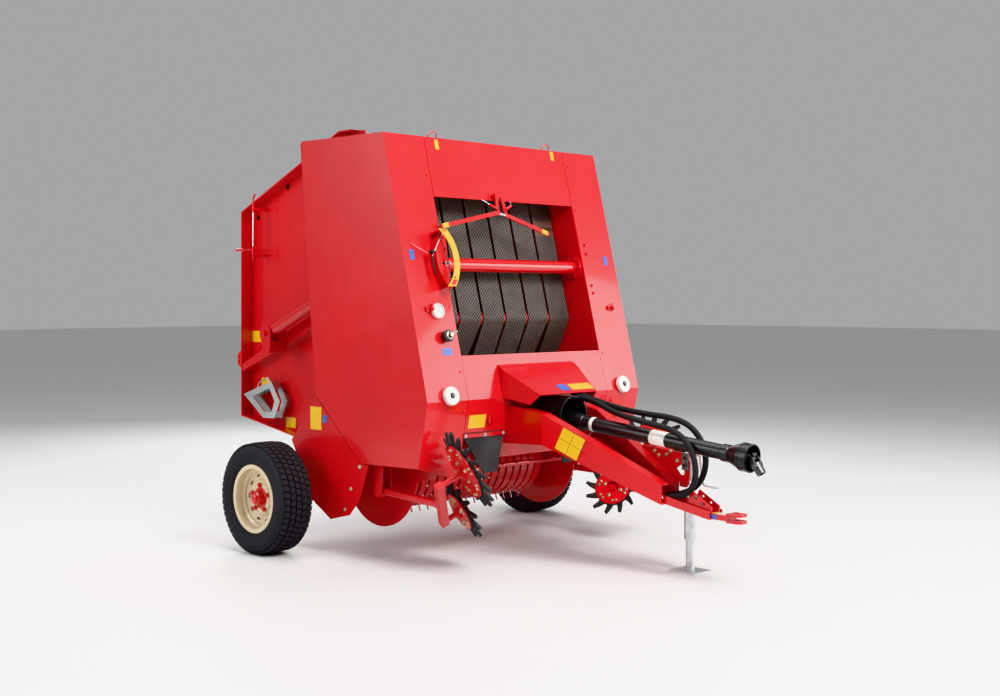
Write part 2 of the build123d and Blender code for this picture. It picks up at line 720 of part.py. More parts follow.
# Tine reel
with BuildPart() as reel:
    bar(-(PICKUP_Y + PLATE), *REEL, REEL_SHAFT, PICKUP_Y + PLATE)
    for spider_y in (-SPIDER_Y, 0, SPIDER_Y):
        bar(spider_y - 5, *REEL, TINE_BAR_CIRCLE + 25, spider_y + 5)
    for arm in range(TINE_BARS):
        turn = arm * 360 / TINE_BARS + 20
        x = REEL[0] + TINE_BAR_CIRCLE * cos(radians(turn))
        z = REEL[1] + TINE_BAR_CIRCLE * sin(radians(turn))
        bar(-TINE_BAR_HALF, x, z, TINE_BAR, TINE_BAR_HALF)
        outwards = Vector(cos(radians(turn)), 0, sin(radians(turn)))
        comb = Plane(origin=place(REEL[0], 0, REEL[1]), x_dir=(0, 1, 0), z_dir=Vector(0, 1, 0).cross(outwards) * -1)
        with BuildSketch(comb.offset(-TINE / 2)):
            with Locations((0, -(TINE_BAR_CIRCLE + TINE_REACH) / 2)):
                with GridLocations(TINE_PITCH, 0, TINE_COUNT, 1):
                    Rectangle(TINE, TINE_REACH - TINE_BAR_CIRCLE)
        extrude(amount=TINE)
finish(reel, "pickup_reel")

# Gathering wheels and the arms that carry them
for name, s in SIDES:
    out = Vector(GATHER_AXLE.X, s * GATHER_AXLE.Y, GATHER_AXLE.Z)
    ends = []
    for label, x, y, z, disc, reach, stub, fingers in GATHER_WHEELS:
        centre = place(x, s * y, z)
        ends.append((centre, centre + out * stub))
        face = Plane(origin=centre, x_dir=Vector(0, 0, 1).cross(out), z_dir=out)
        with BuildPart() as gatherer:
            with BuildSketch(face.offset(-4)):
                Circle(disc)
            extrude(amount=8)
            with BuildSketch(face.offset(-12)):
                Circle(36)
            extrude(amount=40)
            with BuildSketch(face.offset(-13)):
                Circle(GATHER_PIN + RUN)
            extrude(amount=60, mode=Mode.SUBTRACT)
            # Rubber fingers round the rim, bolted behind the disc
            length = reach - disc
            with BuildSketch(face.offset(-4 - SEAT - FINGER)):
                Circle(disc + 6)
                Circle(disc - 34, mode=Mode.SUBTRACT)
                with PolarLocations(disc, round(fingers)):
                    Polygon(
                        (-20, s * FINGER_ROOT), (-20, -s * FINGER_ROOT), (0.4 * length, -s * (FINGER_ROOT - 4)),
                        (length - FINGER_HOOK, -s * 2), (length, s * FINGER_HOOK),
                        (0.4 * length, s * (FINGER_ROOT - 2)), align=None,
                    )
            extrude(amount=FINGER)
        finish(gatherer, f"gather_wheel_{name}_{label}")
    hinge = place(GATHER_HINGE[0], s * GATHER_HINGE[1], GATHER_HINGE[2])
    with BuildPart() as arm:
        (upper_centre, upper_end), (lower_centre, lower_end) = ends
        down = (lower_end - upper_end).normalized()
        with BuildSketch(Plane(origin=upper_end - down * POST_END, x_dir=(0, 1, 0), z_dir=down)):
            Rectangle(POST, POST)
        extrude(amount=(lower_end - upper_end).length + 2 * POST_END)
        for centre, end in ends:
            rod(end, centre + out * 32, GATHER_PIN + 2)
            rod(end, centre - out * 14, GATHER_PIN)
        middle = (upper_end + lower_end) * 0.5
        rod(hinge, middle, GATHER_TUBE)
        # Gusset between the arm and the post
        along = (hinge - middle).normalized()
        square = down.cross(along).normalized()
        tip = (130 * along.dot(down), 130 * hypot(*(along - down * along.dot(down))))
        with BuildSketch(Plane(origin=middle - square * (GUSSET / 2), x_dir=down, z_dir=square)):
            with BuildLine():
                Polyline((-POST - 12, 0), (POST + 12, 0), tip, close=True)
            make_face()
        extrude(amount=GUSSET)
        bar(s * (GATHER_HINGE[1] - 27), GATHER_HINGE[0], GATHER_HINGE[2], 34, s * (GATHER_HINGE[1] + 27))
        pin_hole(s * (GATHER_HINGE[1] - 60), GATHER_HINGE[0], GATHER_HINGE[2], GATHER_PIN + RUN,
                 s * (GATHER_HINGE[1] + 60))
    finish(arm, f"gather_arm_{name}")

# Hangers that carry the gathering arms
HANGER_EAR = 30
with BuildPart() as hangers:
    for name, s in SIDES:
        for inner in (GATHER_HINGE[1] - HANGER_EAR - PLATE, GATHER_HINGE[1] + HANGER_EAR):
            with BuildSketch(side(s * inner)):
                with Locations((GATHER_HINGE[0], GATHER_HINGE[2])):
                    Circle(34)
                with Locations((700, 930), (745, 930)):
                    Circle(26)
                make_hull()
            extrude(amount=-s * PLATE)
        bar(s * (GATHER_HINGE[1] - HANGER_EAR - LAP), GATHER_HINGE[0], GATHER_HINGE[2], GATHER_PIN,
            s * (GATHER_HINGE[1] + HANGER_EAR + LAP))
        bar(s * (WALL_OUT + SEAT), 722, 935, 20, s * (GATHER_HINGE[1] + HANGER_EAR + PLATE))
finish(hangers, "gather_hangers")

# Drawbar beams: channels that close in towards the hitch


def interpolate(points, x):
    """Height on a line of points at this X."""
    for (x0, z0), (x1, z1) in zip(points, points[1:]):
        if x <= x1:
            break
    return z0 + (z1 - z0) * (x - x0) / (x1 - x0)


def beam_plan(s, inner, outer):
    """Plan outline of a strip along a drawbar beam, between two insets from its outer face."""
    turn_x = DRAWBAR_FOLD
    line = ((1100, DRAWBAR_Y), (turn_x, DRAWBAR_Y), (DRAWBAR_FRONT, DRAWBAR_FRONT_Y))
    outside = [(x, s * (y - outer)) for x, y in line]
    inside = [(x, s * max(y - inner, 3)) for x, y in reversed(line)]
    return outside + inside


def beam_side(top_drop, bottom_rise):
    """Side outline of a drawbar beam, moved in from its upper and lower edges."""
    top, low = interpolate(DRAWBAR_TOP, 1200) - top_drop, interpolate(DRAWBAR_BOTTOM, 1150) + bottom_rise
    rear_top, rear_low = (front_x(top) + 2 * SEAT, top), (front_x(low) + 2 * SEAT, low)
    upper = [(x, z - top_drop) for x, z in DRAWBAR_TOP[1:]]
    lower = [(x, z + bottom_rise) for x, z in reversed(DRAWBAR_BOTTOM[1:])]
    return [rear_top, *upper, *lower, rear_low]


for name, s in SIDES:
    with BuildPart() as beam:
        with BuildSketch(floor()):
            with BuildLine():
                Polyline(*beam_plan(s, DRAWBAR_FLANGE, 0), close=True)
            make_face()
        extrude(amount=1200)
        with BuildSketch(side(500)):
            with BuildLine():
                Polyline(*beam_side(0, 0), close=True)
            make_face()
        extrude(amount=1000, mode=Mode.INTERSECT)
        with BuildPart(mode=Mode.PRIVATE) as inside:
            with BuildSketch(floor()):
                with BuildLine():
                    Polyline(*beam_plan(s, DRAWBAR_FLANGE + 40, PLATE), close=True)
                make_face()
            extrude(amount=1200)
            with BuildSketch(side(500)):
                with BuildLine():
                    Polyline(*beam_side(PLATE, PLATE), close=True)
                make_face()
            extrude(amount=1000, mode=Mode.INTERSECT)
        add(inside.part, mode=Mode.SUBTRACT)
    finish(beam, f"drawbar_beam_{name}")

# Tongue: a low channel in front of the beams, two upright plates and the forked hitch
TONGUE_LENGTH = 495            # drawn at this length, and stretched to where the hitch is


def tongue_x(offset):
    """X of a place on the tongue, given from the beams' front end."""
    return DRAWBAR_FRONT + offset * (HITCH_TIP - DRAWBAR_FRONT) / TONGUE_LENGTH


TONGUE_LOW = ((DRAWBAR_FRONT + SEAT, 418), (tongue_x(256), 371), (tongue_x(310), 362))
TONGUE_HEIGHT = 45
TONGUE_HALF = 60
TONGUE_PLATE_Y = 30
TONGUE_PLATE = tuple((tongue_x(offset), z) for offset, z in (
    (140, 428), (150, 450), (176, 505), (310, 428), (305, 395), (245, 395),
))
TONGUE_FOOT = tuple((tongue_x(offset), z) for offset, z in (
    (140, 400), (140, 435), (245, 420), (310, 400), (310, 368), (256, 374),
))
TONGUE_BOLTS = ((tongue_x(203), 470), (tongue_x(255), 441))
HITCH_BAR_REAR = tongue_x(245)
HITCH_HEAD_REAR = tongue_x(405)
HITCH_HALF = 43
HITCH_HEAD = 25
HITCH_BAR = 15
HITCH_SLOT = 22
HITCH_CORNER = 20
HITCH_HOLE_X = HITCH_TIP - 50
with BuildPart() as tongue:
    for inset, lift, mode in ((0, 0, Mode.ADD), (PLATE, PLATE, Mode.SUBTRACT)):
        with BuildSketch(side(-(TONGUE_HALF - inset))):
            with BuildLine():
                Polyline(
                    *[(x, z + lift) for x, z in TONGUE_LOW],
                    *[(x, z + TONGUE_HEIGHT + lift) for x, z in reversed(TONGUE_LOW)], close=True,
                )
            make_face()
        extrude(amount=-2 * (TONGUE_HALF - inset), mode=mode)
    for name, s in SIDES:
        with BuildSketch(side(s * TONGUE_PLATE_Y)):
            with BuildLine():
                Polyline(*TONGUE_PLATE, close=True)
            make_face()
            with Locations(*TONGUE_BOLTS):
                Circle(8, mode=Mode.SUBTRACT)
        extrude(amount=-s * 10)
        # Foot of the upright plate on the channel's floor
        with BuildSketch(side(s * TONGUE_PLATE_Y)):
            with BuildLine():
                Polyline(*TONGUE_FOOT, close=True)
            make_face()
        extrude(amount=-s * 10)
    with BuildSketch(floor(HITCH_Z - HITCH_BAR)):
        with BuildLine():
            Polyline(
                (HITCH_BAR_REAR, -HITCH_HALF), (HITCH_HEAD_REAR + LAP, -HITCH_HALF),
                (HITCH_HEAD_REAR + LAP, HITCH_HALF), (HITCH_BAR_REAR, HITCH_HALF), close=True,
            )
        make_face()
    extrude(amount=2 * HITCH_BAR)
    with BuildSketch(floor(HITCH_Z - HITCH_HEAD)):
        with BuildLine():
            Polyline(
                (HITCH_HEAD_REAR, -HITCH_HALF), (HITCH_TIP - HITCH_CORNER, -HITCH_HALF),
                (HITCH_TIP, -HITCH_HALF + HITCH_CORNER), (HITCH_TIP, HITCH_HALF - HITCH_CORNER),
                (HITCH_TIP - HITCH_CORNER, HITCH_HALF), (HITCH_HEAD_REAR, HITCH_HALF), close=True,
            )
        make_face()
        with Locations((HITCH_HOLE_X, 0)):
            Circle(HITCH_BORE, mode=Mode.SUBTRACT)
    extrude(amount=2 * HITCH_HEAD)
    with BuildSketch(side(-TONGUE_HALF)):
        with Locations((HITCH_TIP, HITCH_Z)):
            Rectangle(2 * (HITCH_TIP - HITCH_HEAD_REAR) - 20, HITCH_SLOT)
    extrude(amount=-2 * TONGUE_HALF, mode=Mode.SUBTRACT)
finish(tongue, "drawbar_tongue")

# Hood over the gearbox
HOOD_REAR_Y = 332
HOOD_FRONT_Y = 249
HOOD_FRONT = (1437, 990)
HOOD_TOP_Z = 1161
with BuildPart() as hood:
    rear_top = (front_x(HOOD_TOP_Z) + SEAT, HOOD_TOP_Z)
    with BuildSketch(side(-HOOD_REAR_Y)):
        with BuildLine():
            Polyline(rear_top, HOOD_FRONT, (1375, 930), (front_x(FRONT_KINK[1]) + SEAT, FRONT_KINK[1] + 2), close=True)
        make_face()
    extrude(amount=-2 * HOOD_REAR_Y)
    with BuildSketch(floor()):
        with BuildLine():
            Polyline(
                (1150, -HOOD_REAR_Y), (1207, -HOOD_REAR_Y), (HOOD_FRONT[0], -HOOD_FRONT_Y),
                (HOOD_FRONT[0], HOOD_FRONT_Y), (1207, HOOD_REAR_Y), (1150, HOOD_REAR_Y), close=True,
            )
        make_face()
    extrude(amount=1300, mode=Mode.INTERSECT)
    with BuildPart(mode=Mode.PRIVATE) as hollow:
        with BuildSketch(side(-HOOD_REAR_Y)):
            with BuildLine():
                Polyline(
                    (1100, HOOD_TOP_Z + 28), (HOOD_FRONT[0] + 6, HOOD_FRONT[1] - 9), (HOOD_FRONT[0] + 6, 800),
                    (1100, 800), close=True,
                )
            make_face()
        extrude(amount=-2 * HOOD_REAR_Y)
        with BuildSketch(floor()):
            with BuildLine():
                Polyline(
                    (1100, -HOOD_REAR_Y + SHEET), (1207, -HOOD_REAR_Y + SHEET),
                    (HOOD_FRONT[0] + 12, -HOOD_FRONT_Y + SHEET), (HOOD_FRONT[0] + 12, HOOD_FRONT_Y - SHEET),
                    (1207, HOOD_REAR_Y - SHEET), (1100, HOOD_REAR_Y - SHEET), close=True,
                )
            make_face()
        extrude(amount=1300, mode=Mode.INTERSECT)
    add(hollow.part, mode=Mode.SUBTRACT)
finish(hood, "driveline_hood")

# Gearbox, shroud, guard tube and the yoke that the tractor's shaft turns
guard_rear = place(SHAFT_GUARD_REAR[0], 0, SHAFT_GUARD_REAR[1])
guard_front = place(SHAFT_GUARD_FRONT[0], 0, SHAFT_GUARD_FRONT[1])
shaft_dir = (guard_front - guard_rear).normalized()
CONE_BACK = 280
CONE_RADIUS = 78
cone_start = guard_rear - shaft_dir * CONE_BACK
STUB = 30
STUB_Z = cone_start.Z
STUB_FRONT = cone_start.X - AXLE_X + STUB * shaft_dir.Z - 2 * SEAT
with BuildPart() as gearbox:
    with BuildSketch(side(-120)):
        with BuildLine():
            Polyline(
                (front_x(760) + SEAT + 8, 745), (SHROUD_REAR - SEAT, 745), (SHROUD_REAR - SEAT, 965),
                (front_x(965) + SEAT, 960), (front_x(800) + SEAT, 800), close=True,
            )
        make_face()
    extrude(amount=-240)
    rod(place(SHROUD_REAR - 20, 0, STUB_Z), place(STUB_FRONT, 0, STUB_Z), STUB)
finish(gearbox, "gearbox")

# Block on the front panel that the hoses start from
HOSE_BLOCK_FRONT = 1225
HOSE_BLOCK_Y = (50, 170)
with BuildPart() as block:
    with BuildSketch(side(HOSE_BLOCK_Y[0])):
        with BuildLine():
            Polyline((front_x(1012) + SEAT, 1012), (HOSE_BLOCK_FRONT, 1012), (HOSE_BLOCK_FRONT, 1058),
                     (front_x(1058) + SEAT, 1058), close=True)
        make_face()
    extrude(amount=HOSE_BLOCK_Y[0] - HOSE_BLOCK_Y[1])
finish(block, "hose_block")

with BuildPart() as shroud:
    with BuildSketch(across(SHROUD_REAR)):
        with Locations((0, SHROUD_Z)):
            Circle(SHROUD)
    extrude(amount=SHROUD_FRONT - SHROUD_REAR)
    with BuildSketch(across(SHROUD_REAR + SHEET)):
        with Locations((0, SHROUD_Z)):
            Circle(SHROUD - SHEET)
    extrude(amount=SHROUD_FRONT, mode=Mode.SUBTRACT)
    with BuildSketch(across(SHROUD_REAR - LAP)):
        with Locations((0, STUB_Z)):
            Circle(STUB + SEAT)
    extrude(amount=SHEET + 2 * LAP, mode=Mode.SUBTRACT)
finish(shroud, "driveline_shroud")

BELL = 75
BELL_BACK = 126
BELL_FLARE = 80
BELL_RING = 62
with BuildPart() as shaft_guard:
    rod(guard_rear - shaft_dir * 160, guard_front - shaft_dir * 40, SHAFT_TUBE)
    cone_plane = Plane(origin=cone_start, z_dir=shaft_dir)
    with BuildSketch(cone_plane):
        Circle(CONE_RADIUS)
    with BuildSketch(cone_plane.offset(230)):
        Circle(SHAFT_TUBE + 4)
    loft()
    bell_plane = Plane(origin=guard_front - shaft_dir * BELL_BACK, z_dir=shaft_dir)
    with BuildSketch(bell_plane):
        Circle(SHAFT_TUBE + 2)
    with BuildSketch(bell_plane.offset(BELL_FLARE)):
        Circle(BELL)
    loft()
    with BuildSketch(bell_plane.offset(BELL_FLARE - LAP)):
        Circle(BELL)
    extrude(amount=BELL_RING)
    with BuildSketch(bell_plane.offset(BELL_FLARE)):
        Circle(BELL - 5)
    extrude(amount=BELL_RING, mode=Mode.SUBTRACT)
    with BuildSketch(bell_plane.offset(-20)):
        Circle(YOKE_SHAFT + RUN)
    extrude(amount=BELL_FLARE + 40, mode=Mode.SUBTRACT)
finish(shaft_guard, "shaft_guard")

# Joint of the drive shaft: two forks square to each other and the cross between them
JOINT_AHEAD = 19
JOINT_DROOP = radians(-54.7)
YOKE_HUB = 26
FORK = 12
FORK_GAP = 22
joint = guard_front + shaft_dir * JOINT_AHEAD
droop = Vector(cos(JOINT_DROOP), 0, sin(JOINT_DROOP))
YOKE_LENGTH = (AXLE_X + FRONT_REACH + YOKE_HUB * sin(JOINT_DROOP) - joint.X) / cos(JOINT_DROOP)
sideways = Vector(0, 1, 0)
upright = shaft_dir.cross(sideways)
with BuildPart() as yoke:
    rod(guard_front - shaft_dir * (BELL_BACK + 10), guard_front - shaft_dir * 20, YOKE_SHAFT)
    rod(guard_front - shaft_dir * 44, guard_front - shaft_dir * 16, YOKE_HUB + 6)
    for square, axis, back in ((upright, shaft_dir, -46), (sideways, droop, 44)):
        for near in (FORK_GAP, -FORK_GAP - FORK):
            link(Plane(origin=joint + square * near, x_dir=axis, z_dir=square), (0, 0), (back, 0), 17, FORK)
        rod(joint - square * (FORK_GAP + FORK + 3), joint + square * (FORK_GAP + FORK + 3), 10)
    rod(joint + droop * 30, joint + droop * YOKE_LENGTH, YOKE_HUB)
    with BuildSketch(Plane(origin=joint + droop * (YOKE_LENGTH - 50), z_dir=droop)):
        Circle(YOKE_BORE)
    extrude(amount=60, mode=Mode.SUBTRACT)
finish(yoke, "shaft_yoke")

# Parking jack

def beam_face(x):
    """Y of a drawbar beam's outer face in its converging stretch."""
    share = (x - DRAWBAR_FOLD) / (DRAWBAR_FRONT - DRAWBAR_FOLD)
    return DRAWBAR_Y + (DRAWBAR_FRONT_Y - DRAWBAR_Y) * share + 1.2 * SEAT


JACK_BRACKET = (-40, 26)      # along the beam, from the jack
JACK_BRACKET_Z = (455, 520)
JACK_CRANK = ((2166, 220, 664), (2238, 220, 664), (2260, 222, 500), (2340, 250, 489))
CRANK = 7
with BuildPart() as jack:
    jx, jy = JACK
    with BuildSketch(floor(JACK_COLLAR_Z)):
        with Locations((jx, jy)):
            Circle(JACK_TUBE)
    extrude(amount=JACK_TOP_Z - JACK_COLLAR_Z)
    with BuildSketch(floor(JACK_BRACKET_Z[0])):
        with BuildLine():
            rear_x, front_x_end = jx + JACK_BRACKET[0], jx + JACK_BRACKET[1]
            Polyline(
                (rear_x, beam_face(rear_x)), (front_x_end, beam_face(front_x_end)), (front_x_end, jy - JACK_TUBE + 8),
                (rear_x + 14, jy - JACK_TUBE + 8), (rear_x, beam_face(rear_x) + 20), close=True,
            )
        make_face()
    extrude(amount=JACK_BRACKET_Z[1] - JACK_BRACKET_Z[0])
    with BuildSketch(floor(JACK_COLLAR_Z - 1)):
        with Locations((jx, jy)):
            Circle(JACK_LEG + RUN)
    extrude(amount=JACK_TOP_Z - JACK_COLLAR_Z - 20, mode=Mode.SUBTRACT)
    with BuildSketch(floor(JACK_TOP_Z - LAP)):
        with Locations((jx, jy)):
            Circle(10)
    extrude(amount=40)
    crank = [place(*corner) for corner in JACK_CRANK]
    for start, end in zip(crank, crank[1:]):
        rod(start, end, CRANK)
finish(jack, "jack_tube")

with BuildPart() as leg:
    with BuildSketch(floor(6)):
        with Locations((jx, jy)):
            Circle(JACK_LEG)
    extrude(amount=420)
    with BuildSketch(floor(0)):
        with Locations((jx, jy)):
            Rectangle(JACK_FOOT, JACK_FOOT - 20)
    extrude(amount=8)
finish(leg, "jack_leg")

# Plate that stands on the left beam's outer face beside the jack
beam_run = hypot(DRAWBAR_FRONT - DRAWBAR_FOLD, DRAWBAR_Y - DRAWBAR_FRONT_Y)
beam_along = ((DRAWBAR_FRONT - DRAWBAR_FOLD) / beam_run, (DRAWBAR_FRONT_Y - DRAWBAR_Y) / beam_run, 0)
beam_out = (-beam_along[1], beam_along[0], 0)
JACK_PLATE = (
    (1850, 645), (1850, 700), (2250, 690), (2284, 640), (2275, 520), (2255, 500), (2198, 500), (2198, 528), (2115, 530),
)
JACK_PLATE_GAP = ((2165, 598), (2246, 645), (2246, 572), (2205, 562))
with BuildPart() as jack_plate:
    outer_face = Plane(origin=place(DRAWBAR_FOLD, DRAWBAR_Y, 0), x_dir=beam_along, z_dir=beam_out).offset(SEAT)
    with BuildSketch(outer_face):
        for outline, mode in ((JACK_PLATE, Mode.ADD), (JACK_PLATE_GAP, Mode.SUBTRACT)):
            with BuildLine():
                Polyline(*[((x - DRAWBAR_FOLD) / beam_along[0], -z) for x, z in outline], close=True)
            make_face(mode=mode)
    extrude(amount=PLATE)
finish(jack_plate, "jack_plate")

# Tube across the belt window
CROSS_TUBE = (920, 1757)
with BuildPart() as cross_tube:
    bar(-(WALL_IN - SEAT), *CROSS_TUBE, 42, WALL_IN - SEAT)
    bar(WALL_IN - 14, *CROSS_TUBE, 75, WALL_IN - SEAT)
finish(cross_tube, "window_tube")

# Pieces in front of the belt window, drawn on planes parallel to the front face
FACE_RUN = hypot(FRONT_KINK[0] - FRONT_TOP[0], FRONT_TOP[1] - FRONT_KINK[1])
FACE_RISE = (FRONT_TOP[1] - FRONT_KINK[1]) / FACE_RUN
FACE_LEAN = (FRONT_KINK[0] - FRONT_TOP[0]) / FACE_RUN


def before_face(distance):
    """Plane parallel to the upper front face, at a distance before it: Y to the left, then up."""
    kink = place(FRONT_KINK[0], 0, FRONT_KINK[1])
    return Plane(origin=kink, x_dir=(0, 1, 0), z_dir=(FACE_RISE, 0, FACE_LEAN)).offset(distance)


def spot(y, z):
    """A spot on such a plane, at this Y and at this height of the face behind it."""
    return y, (z - FRONT_KINK[1]) / FACE_RISE


# Arms that show the shape of the swath
ARM_LEVEL = 27
ARM_BAR = 8
ARM_HALF = 13
ARM_LINKS = (
    # from, to
    ((-115, 2185), (-127, 2075)), ((-127, 2075), (-613, 1974)), ((-71, 2185), (-58, 2063)), ((-58, 2063), (290, 1960)),
)
with BuildPart() as arms:
    for start, end in ARM_LINKS:
        link(before_face(ARM_LEVEL), spot(*start), spot(*end), ARM_HALF, ARM_BAR)
    with BuildSketch(before_face(SEAT)):
        with Locations(spot(-93, 2182)):
            Rectangle(74, 22)
    extrude(amount=ARM_LEVEL + ARM_BAR - SEAT)
finish(arms, "shape_arms")

# Bale size indicator on the right column: half-round box, bolted strip, ears and scale
DIAL = ((-655, 1942), (-725, 1790), (-665, 1610))
DIAL_DEPTH = 55
STRIP = ((-660, 1948), (-602, 1948), (-614, 1606), (-672, 1606))
STRIP_LEVEL = 30
SCALE_LEVEL = 100
SCALE_MIDDLE = (-855, 1768)
SCALE_RADIUS = 242
SCALE_HALF = 21
SCALE_ENDS = (1930, 1608)
SCALE = 4
with BuildPart() as indicator:
    with BuildSketch(before_face(SEAT)):
        with BuildLine():
            ThreePointArc(spot(*DIAL[0]), spot(*DIAL[1]), spot(*DIAL[2]))
            Line(spot(*DIAL[2]), spot(*DIAL[0]))
        make_face()
    extrude(amount=DIAL_DEPTH)
    with BuildSketch(before_face(SEAT)):
        with BuildLine():
            Polyline(*[spot(*corner) for corner in STRIP], close=True)
        make_face()
    extrude(amount=STRIP_LEVEL)
    for ear_z in SCALE_ENDS:
        with BuildSketch(before_face(SEAT)):
            with Locations(spot(-676, ear_z)):
                Rectangle(36, 12)
        extrude(amount=SCALE_LEVEL - 2 * SEAT)
finish(indicator, "size_indicator")
with BuildPart() as scale:
    with BuildSketch(before_face(SCALE_LEVEL)):
        with Locations(spot(*SCALE_MIDDLE)):
            Circle(SCALE_RADIUS + SCALE_HALF)
            Circle(SCALE_RADIUS - SCALE_HALF, mode=Mode.SUBTRACT)
            with Locations((SCALE_RADIUS, 0)):
                Rectangle(2 * SCALE_RADIUS, (SCALE_ENDS[0] - SCALE_ENDS[1]) / FACE_RISE + 12, mode=Mode.INTERSECT)
    extrude(amount=SCALE)
finish(scale, "size_scale")

# Latch rod with its lever on the tailgate's right side
LATCH = (-790, -720)
LATCH_Z = (1800, 2235)
LATCH_LEVER_Z = 1887
LATCH_ROD = 6
with BuildPart() as latch:
    rod(place(*LATCH, LATCH_Z[0]), place(*LATCH, LATCH_Z[1]), LATCH_ROD)
    rod(place(LATCH[0], LATCH[1], LATCH_Z[1] - 4), place(LATCH[0] + 25, LATCH[1], LATCH_Z[1] + 28), LATCH_ROD)
    rod(place(-978, LATCH[1], LATCH_LEVER_Z), place(*LATCH, LATCH_LEVER_Z), LATCH_ROD)
    for lug_z in (1850, 2160):
        bar(-(WALL_OUT + SEAT), LATCH[0], lug_z, 9, LATCH[1] - 4)
finish(latch, "gate_latch")

# Wheel chock kept on the tailgate's right side
CHOCK = ((-908, 904), (-590, 1005), (-491, 874), (-551, 760), (-681, 755))
CHOCK_WINDOW = ((-800, 893), (-610, 955), (-552, 872), (-584, 800), (-668, 798))
CHOCK_Y = (-652, -716)
CHOCK_HANDLE = ((-802, 934), (-770, 985), (-678, 1024), (-640, 985))
with BuildPart() as chock:
    with BuildSketch(side(CHOCK_Y[0])):
        with BuildLine():
            Polyline(*CHOCK, close=True)
        make_face()
        with BuildLine():
            Polyline(*CHOCK_WINDOW, close=True)
        make_face(mode=Mode.SUBTRACT)
    extrude(amount=CHOCK_Y[0] - CHOCK_Y[1])
    # Hollow between its two cheeks, below the folded ridge
    with BuildSketch(side(CHOCK_Y[0] - SHEET)):
        with BuildLine():
            Polyline((-900, 890), (-590, 991), (-450, 860), (-500, 700), (-800, 700), close=True)
        make_face()
    extrude(amount=CHOCK_Y[0] - CHOCK_Y[1] - 2 * SHEET, mode=Mode.SUBTRACT)
    loop = [place(x, sum(CHOCK_Y) / 2, z) for x, z in CHOCK_HANDLE]
    for start, end in zip(loop, loop[1:]):
        rod(start, end, 5)
    for x, z in ((-860, 908), (-560, 930)):
        bar(-(WALL_OUT + SEAT), x, z, 9, CHOCK_Y[0] - LAP)
finish(chock, "wheel_chock")

# Hydraulic hoses from under the hood to the drawbar
HOSE_ROUTES = {
    "hose_near": (
        (1225, 85, 1035), (1285, 85, 1035), (1350, 88, 1012), (1415, 92, 966), (1482, 92, 953), (1562, 72, 944),
        (1645, 45, 930), (1722, 26, 908), (1800, 5, 892), (1875, -20, 882), (1951, -42, 874), (2036, -51, 862),
        (2122, -52, 850), (2197, -53, 840), (2268, -54, 822), (2328, -57, 790), (2376, -62, 745), (2408, -67, 690),
        (2422, -70, 634), (2420, -70, 578), (2400, -68, 530), (2362, -62, 492), (2318, -50, 475), (2272, -36, 465),
        (2228, -32, 454), (2180, -31, 451),
    ),
    "hose_far": (
        (1225, 135, 1035), (1285, 135, 1035), (1350, 134, 1010), (1418, 131, 972), (1486, 126, 956), (1570, 115, 942),
        (1660, 104, 925), (1750, 96, 911), (1840, 90, 901), (1930, 87, 894), (2010, 84, 889), (2090, 82, 886),
        (2171, 80, 876), (2245, 80, 856), (2305, 79, 820), (2349, 78, 770), (2374, 77, 712), (2383, 76, 660),
        (2378, 74, 610), (2362, 70, 562), (2334, 62, 521), (2300, 52, 493), (2260, 40, 474), (2214, 33, 461),
        (2160, 32, 457),
    ),
}


def hose_radii(points):
    """Largest arc that fits each corner of a route."""
    radii = []
    for before, here, after in zip(points, points[1:], points[2:]):
        first, second = Vector(*here) - Vector(*before), Vector(*after) - Vector(*here)
        turn = radians(first.get_angle(second))
        radii.append(0.45 * min(first.length, second.length) / (sin(turn / 2) / cos(turn / 2)))
    return radii


for name, points in HOSE_ROUTES.items():
    radii = hose_radii(points)
    print(name, "smallest bend", round(min(radii)))
    with BuildPart() as hose:
        with BuildLine():
            path = FilletPolyline(*[place(*point) for point in points], radius=radii)
        with BuildSketch(Plane(origin=path @ 0, z_dir=path % 0)):
            Circle(HOSE_RADIUS)
        sweep()
    finish(hose, name)
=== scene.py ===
"""Round baler: finishes, soft parts, fittings and studio around the machine's fixed frame.

All lengths are metres in the machine's frame: +X to the tractor, +Y to the machine's left, +Z up.
Places along X are given from the axle, as at() takes them.
"""

from dataclasses import dataclass, field
from enum import Enum
import json
import logging
import math

import bmesh
import bpy
from mathutils import Matrix, Vector


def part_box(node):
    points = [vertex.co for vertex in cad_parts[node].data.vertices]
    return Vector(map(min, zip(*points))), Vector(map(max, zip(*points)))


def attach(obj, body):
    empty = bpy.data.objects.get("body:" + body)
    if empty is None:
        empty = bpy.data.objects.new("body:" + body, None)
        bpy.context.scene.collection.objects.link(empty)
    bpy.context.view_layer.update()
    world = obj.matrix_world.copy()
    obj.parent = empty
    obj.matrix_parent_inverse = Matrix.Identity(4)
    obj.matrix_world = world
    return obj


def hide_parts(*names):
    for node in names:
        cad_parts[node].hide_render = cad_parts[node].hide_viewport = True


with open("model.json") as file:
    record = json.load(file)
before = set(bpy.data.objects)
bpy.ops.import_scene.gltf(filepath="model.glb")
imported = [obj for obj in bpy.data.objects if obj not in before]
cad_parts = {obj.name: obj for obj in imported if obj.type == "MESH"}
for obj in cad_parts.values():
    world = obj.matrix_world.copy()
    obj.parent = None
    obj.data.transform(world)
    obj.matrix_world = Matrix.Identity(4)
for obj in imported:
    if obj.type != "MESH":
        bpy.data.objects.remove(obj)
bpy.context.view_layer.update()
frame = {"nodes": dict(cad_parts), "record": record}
LOG = logging.getLogger("baler")
AXLE_X = sum(corner.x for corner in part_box("axle_beam")) / 2
Pair = tuple[float, float]
Triple = tuple[float, float, float]
FULL_TURN = 2 * math.pi
FORWARD = Vector((1, 0, 0))
LEFT = Vector((0, 1, 0))
UP = Vector((0, 0, 1))


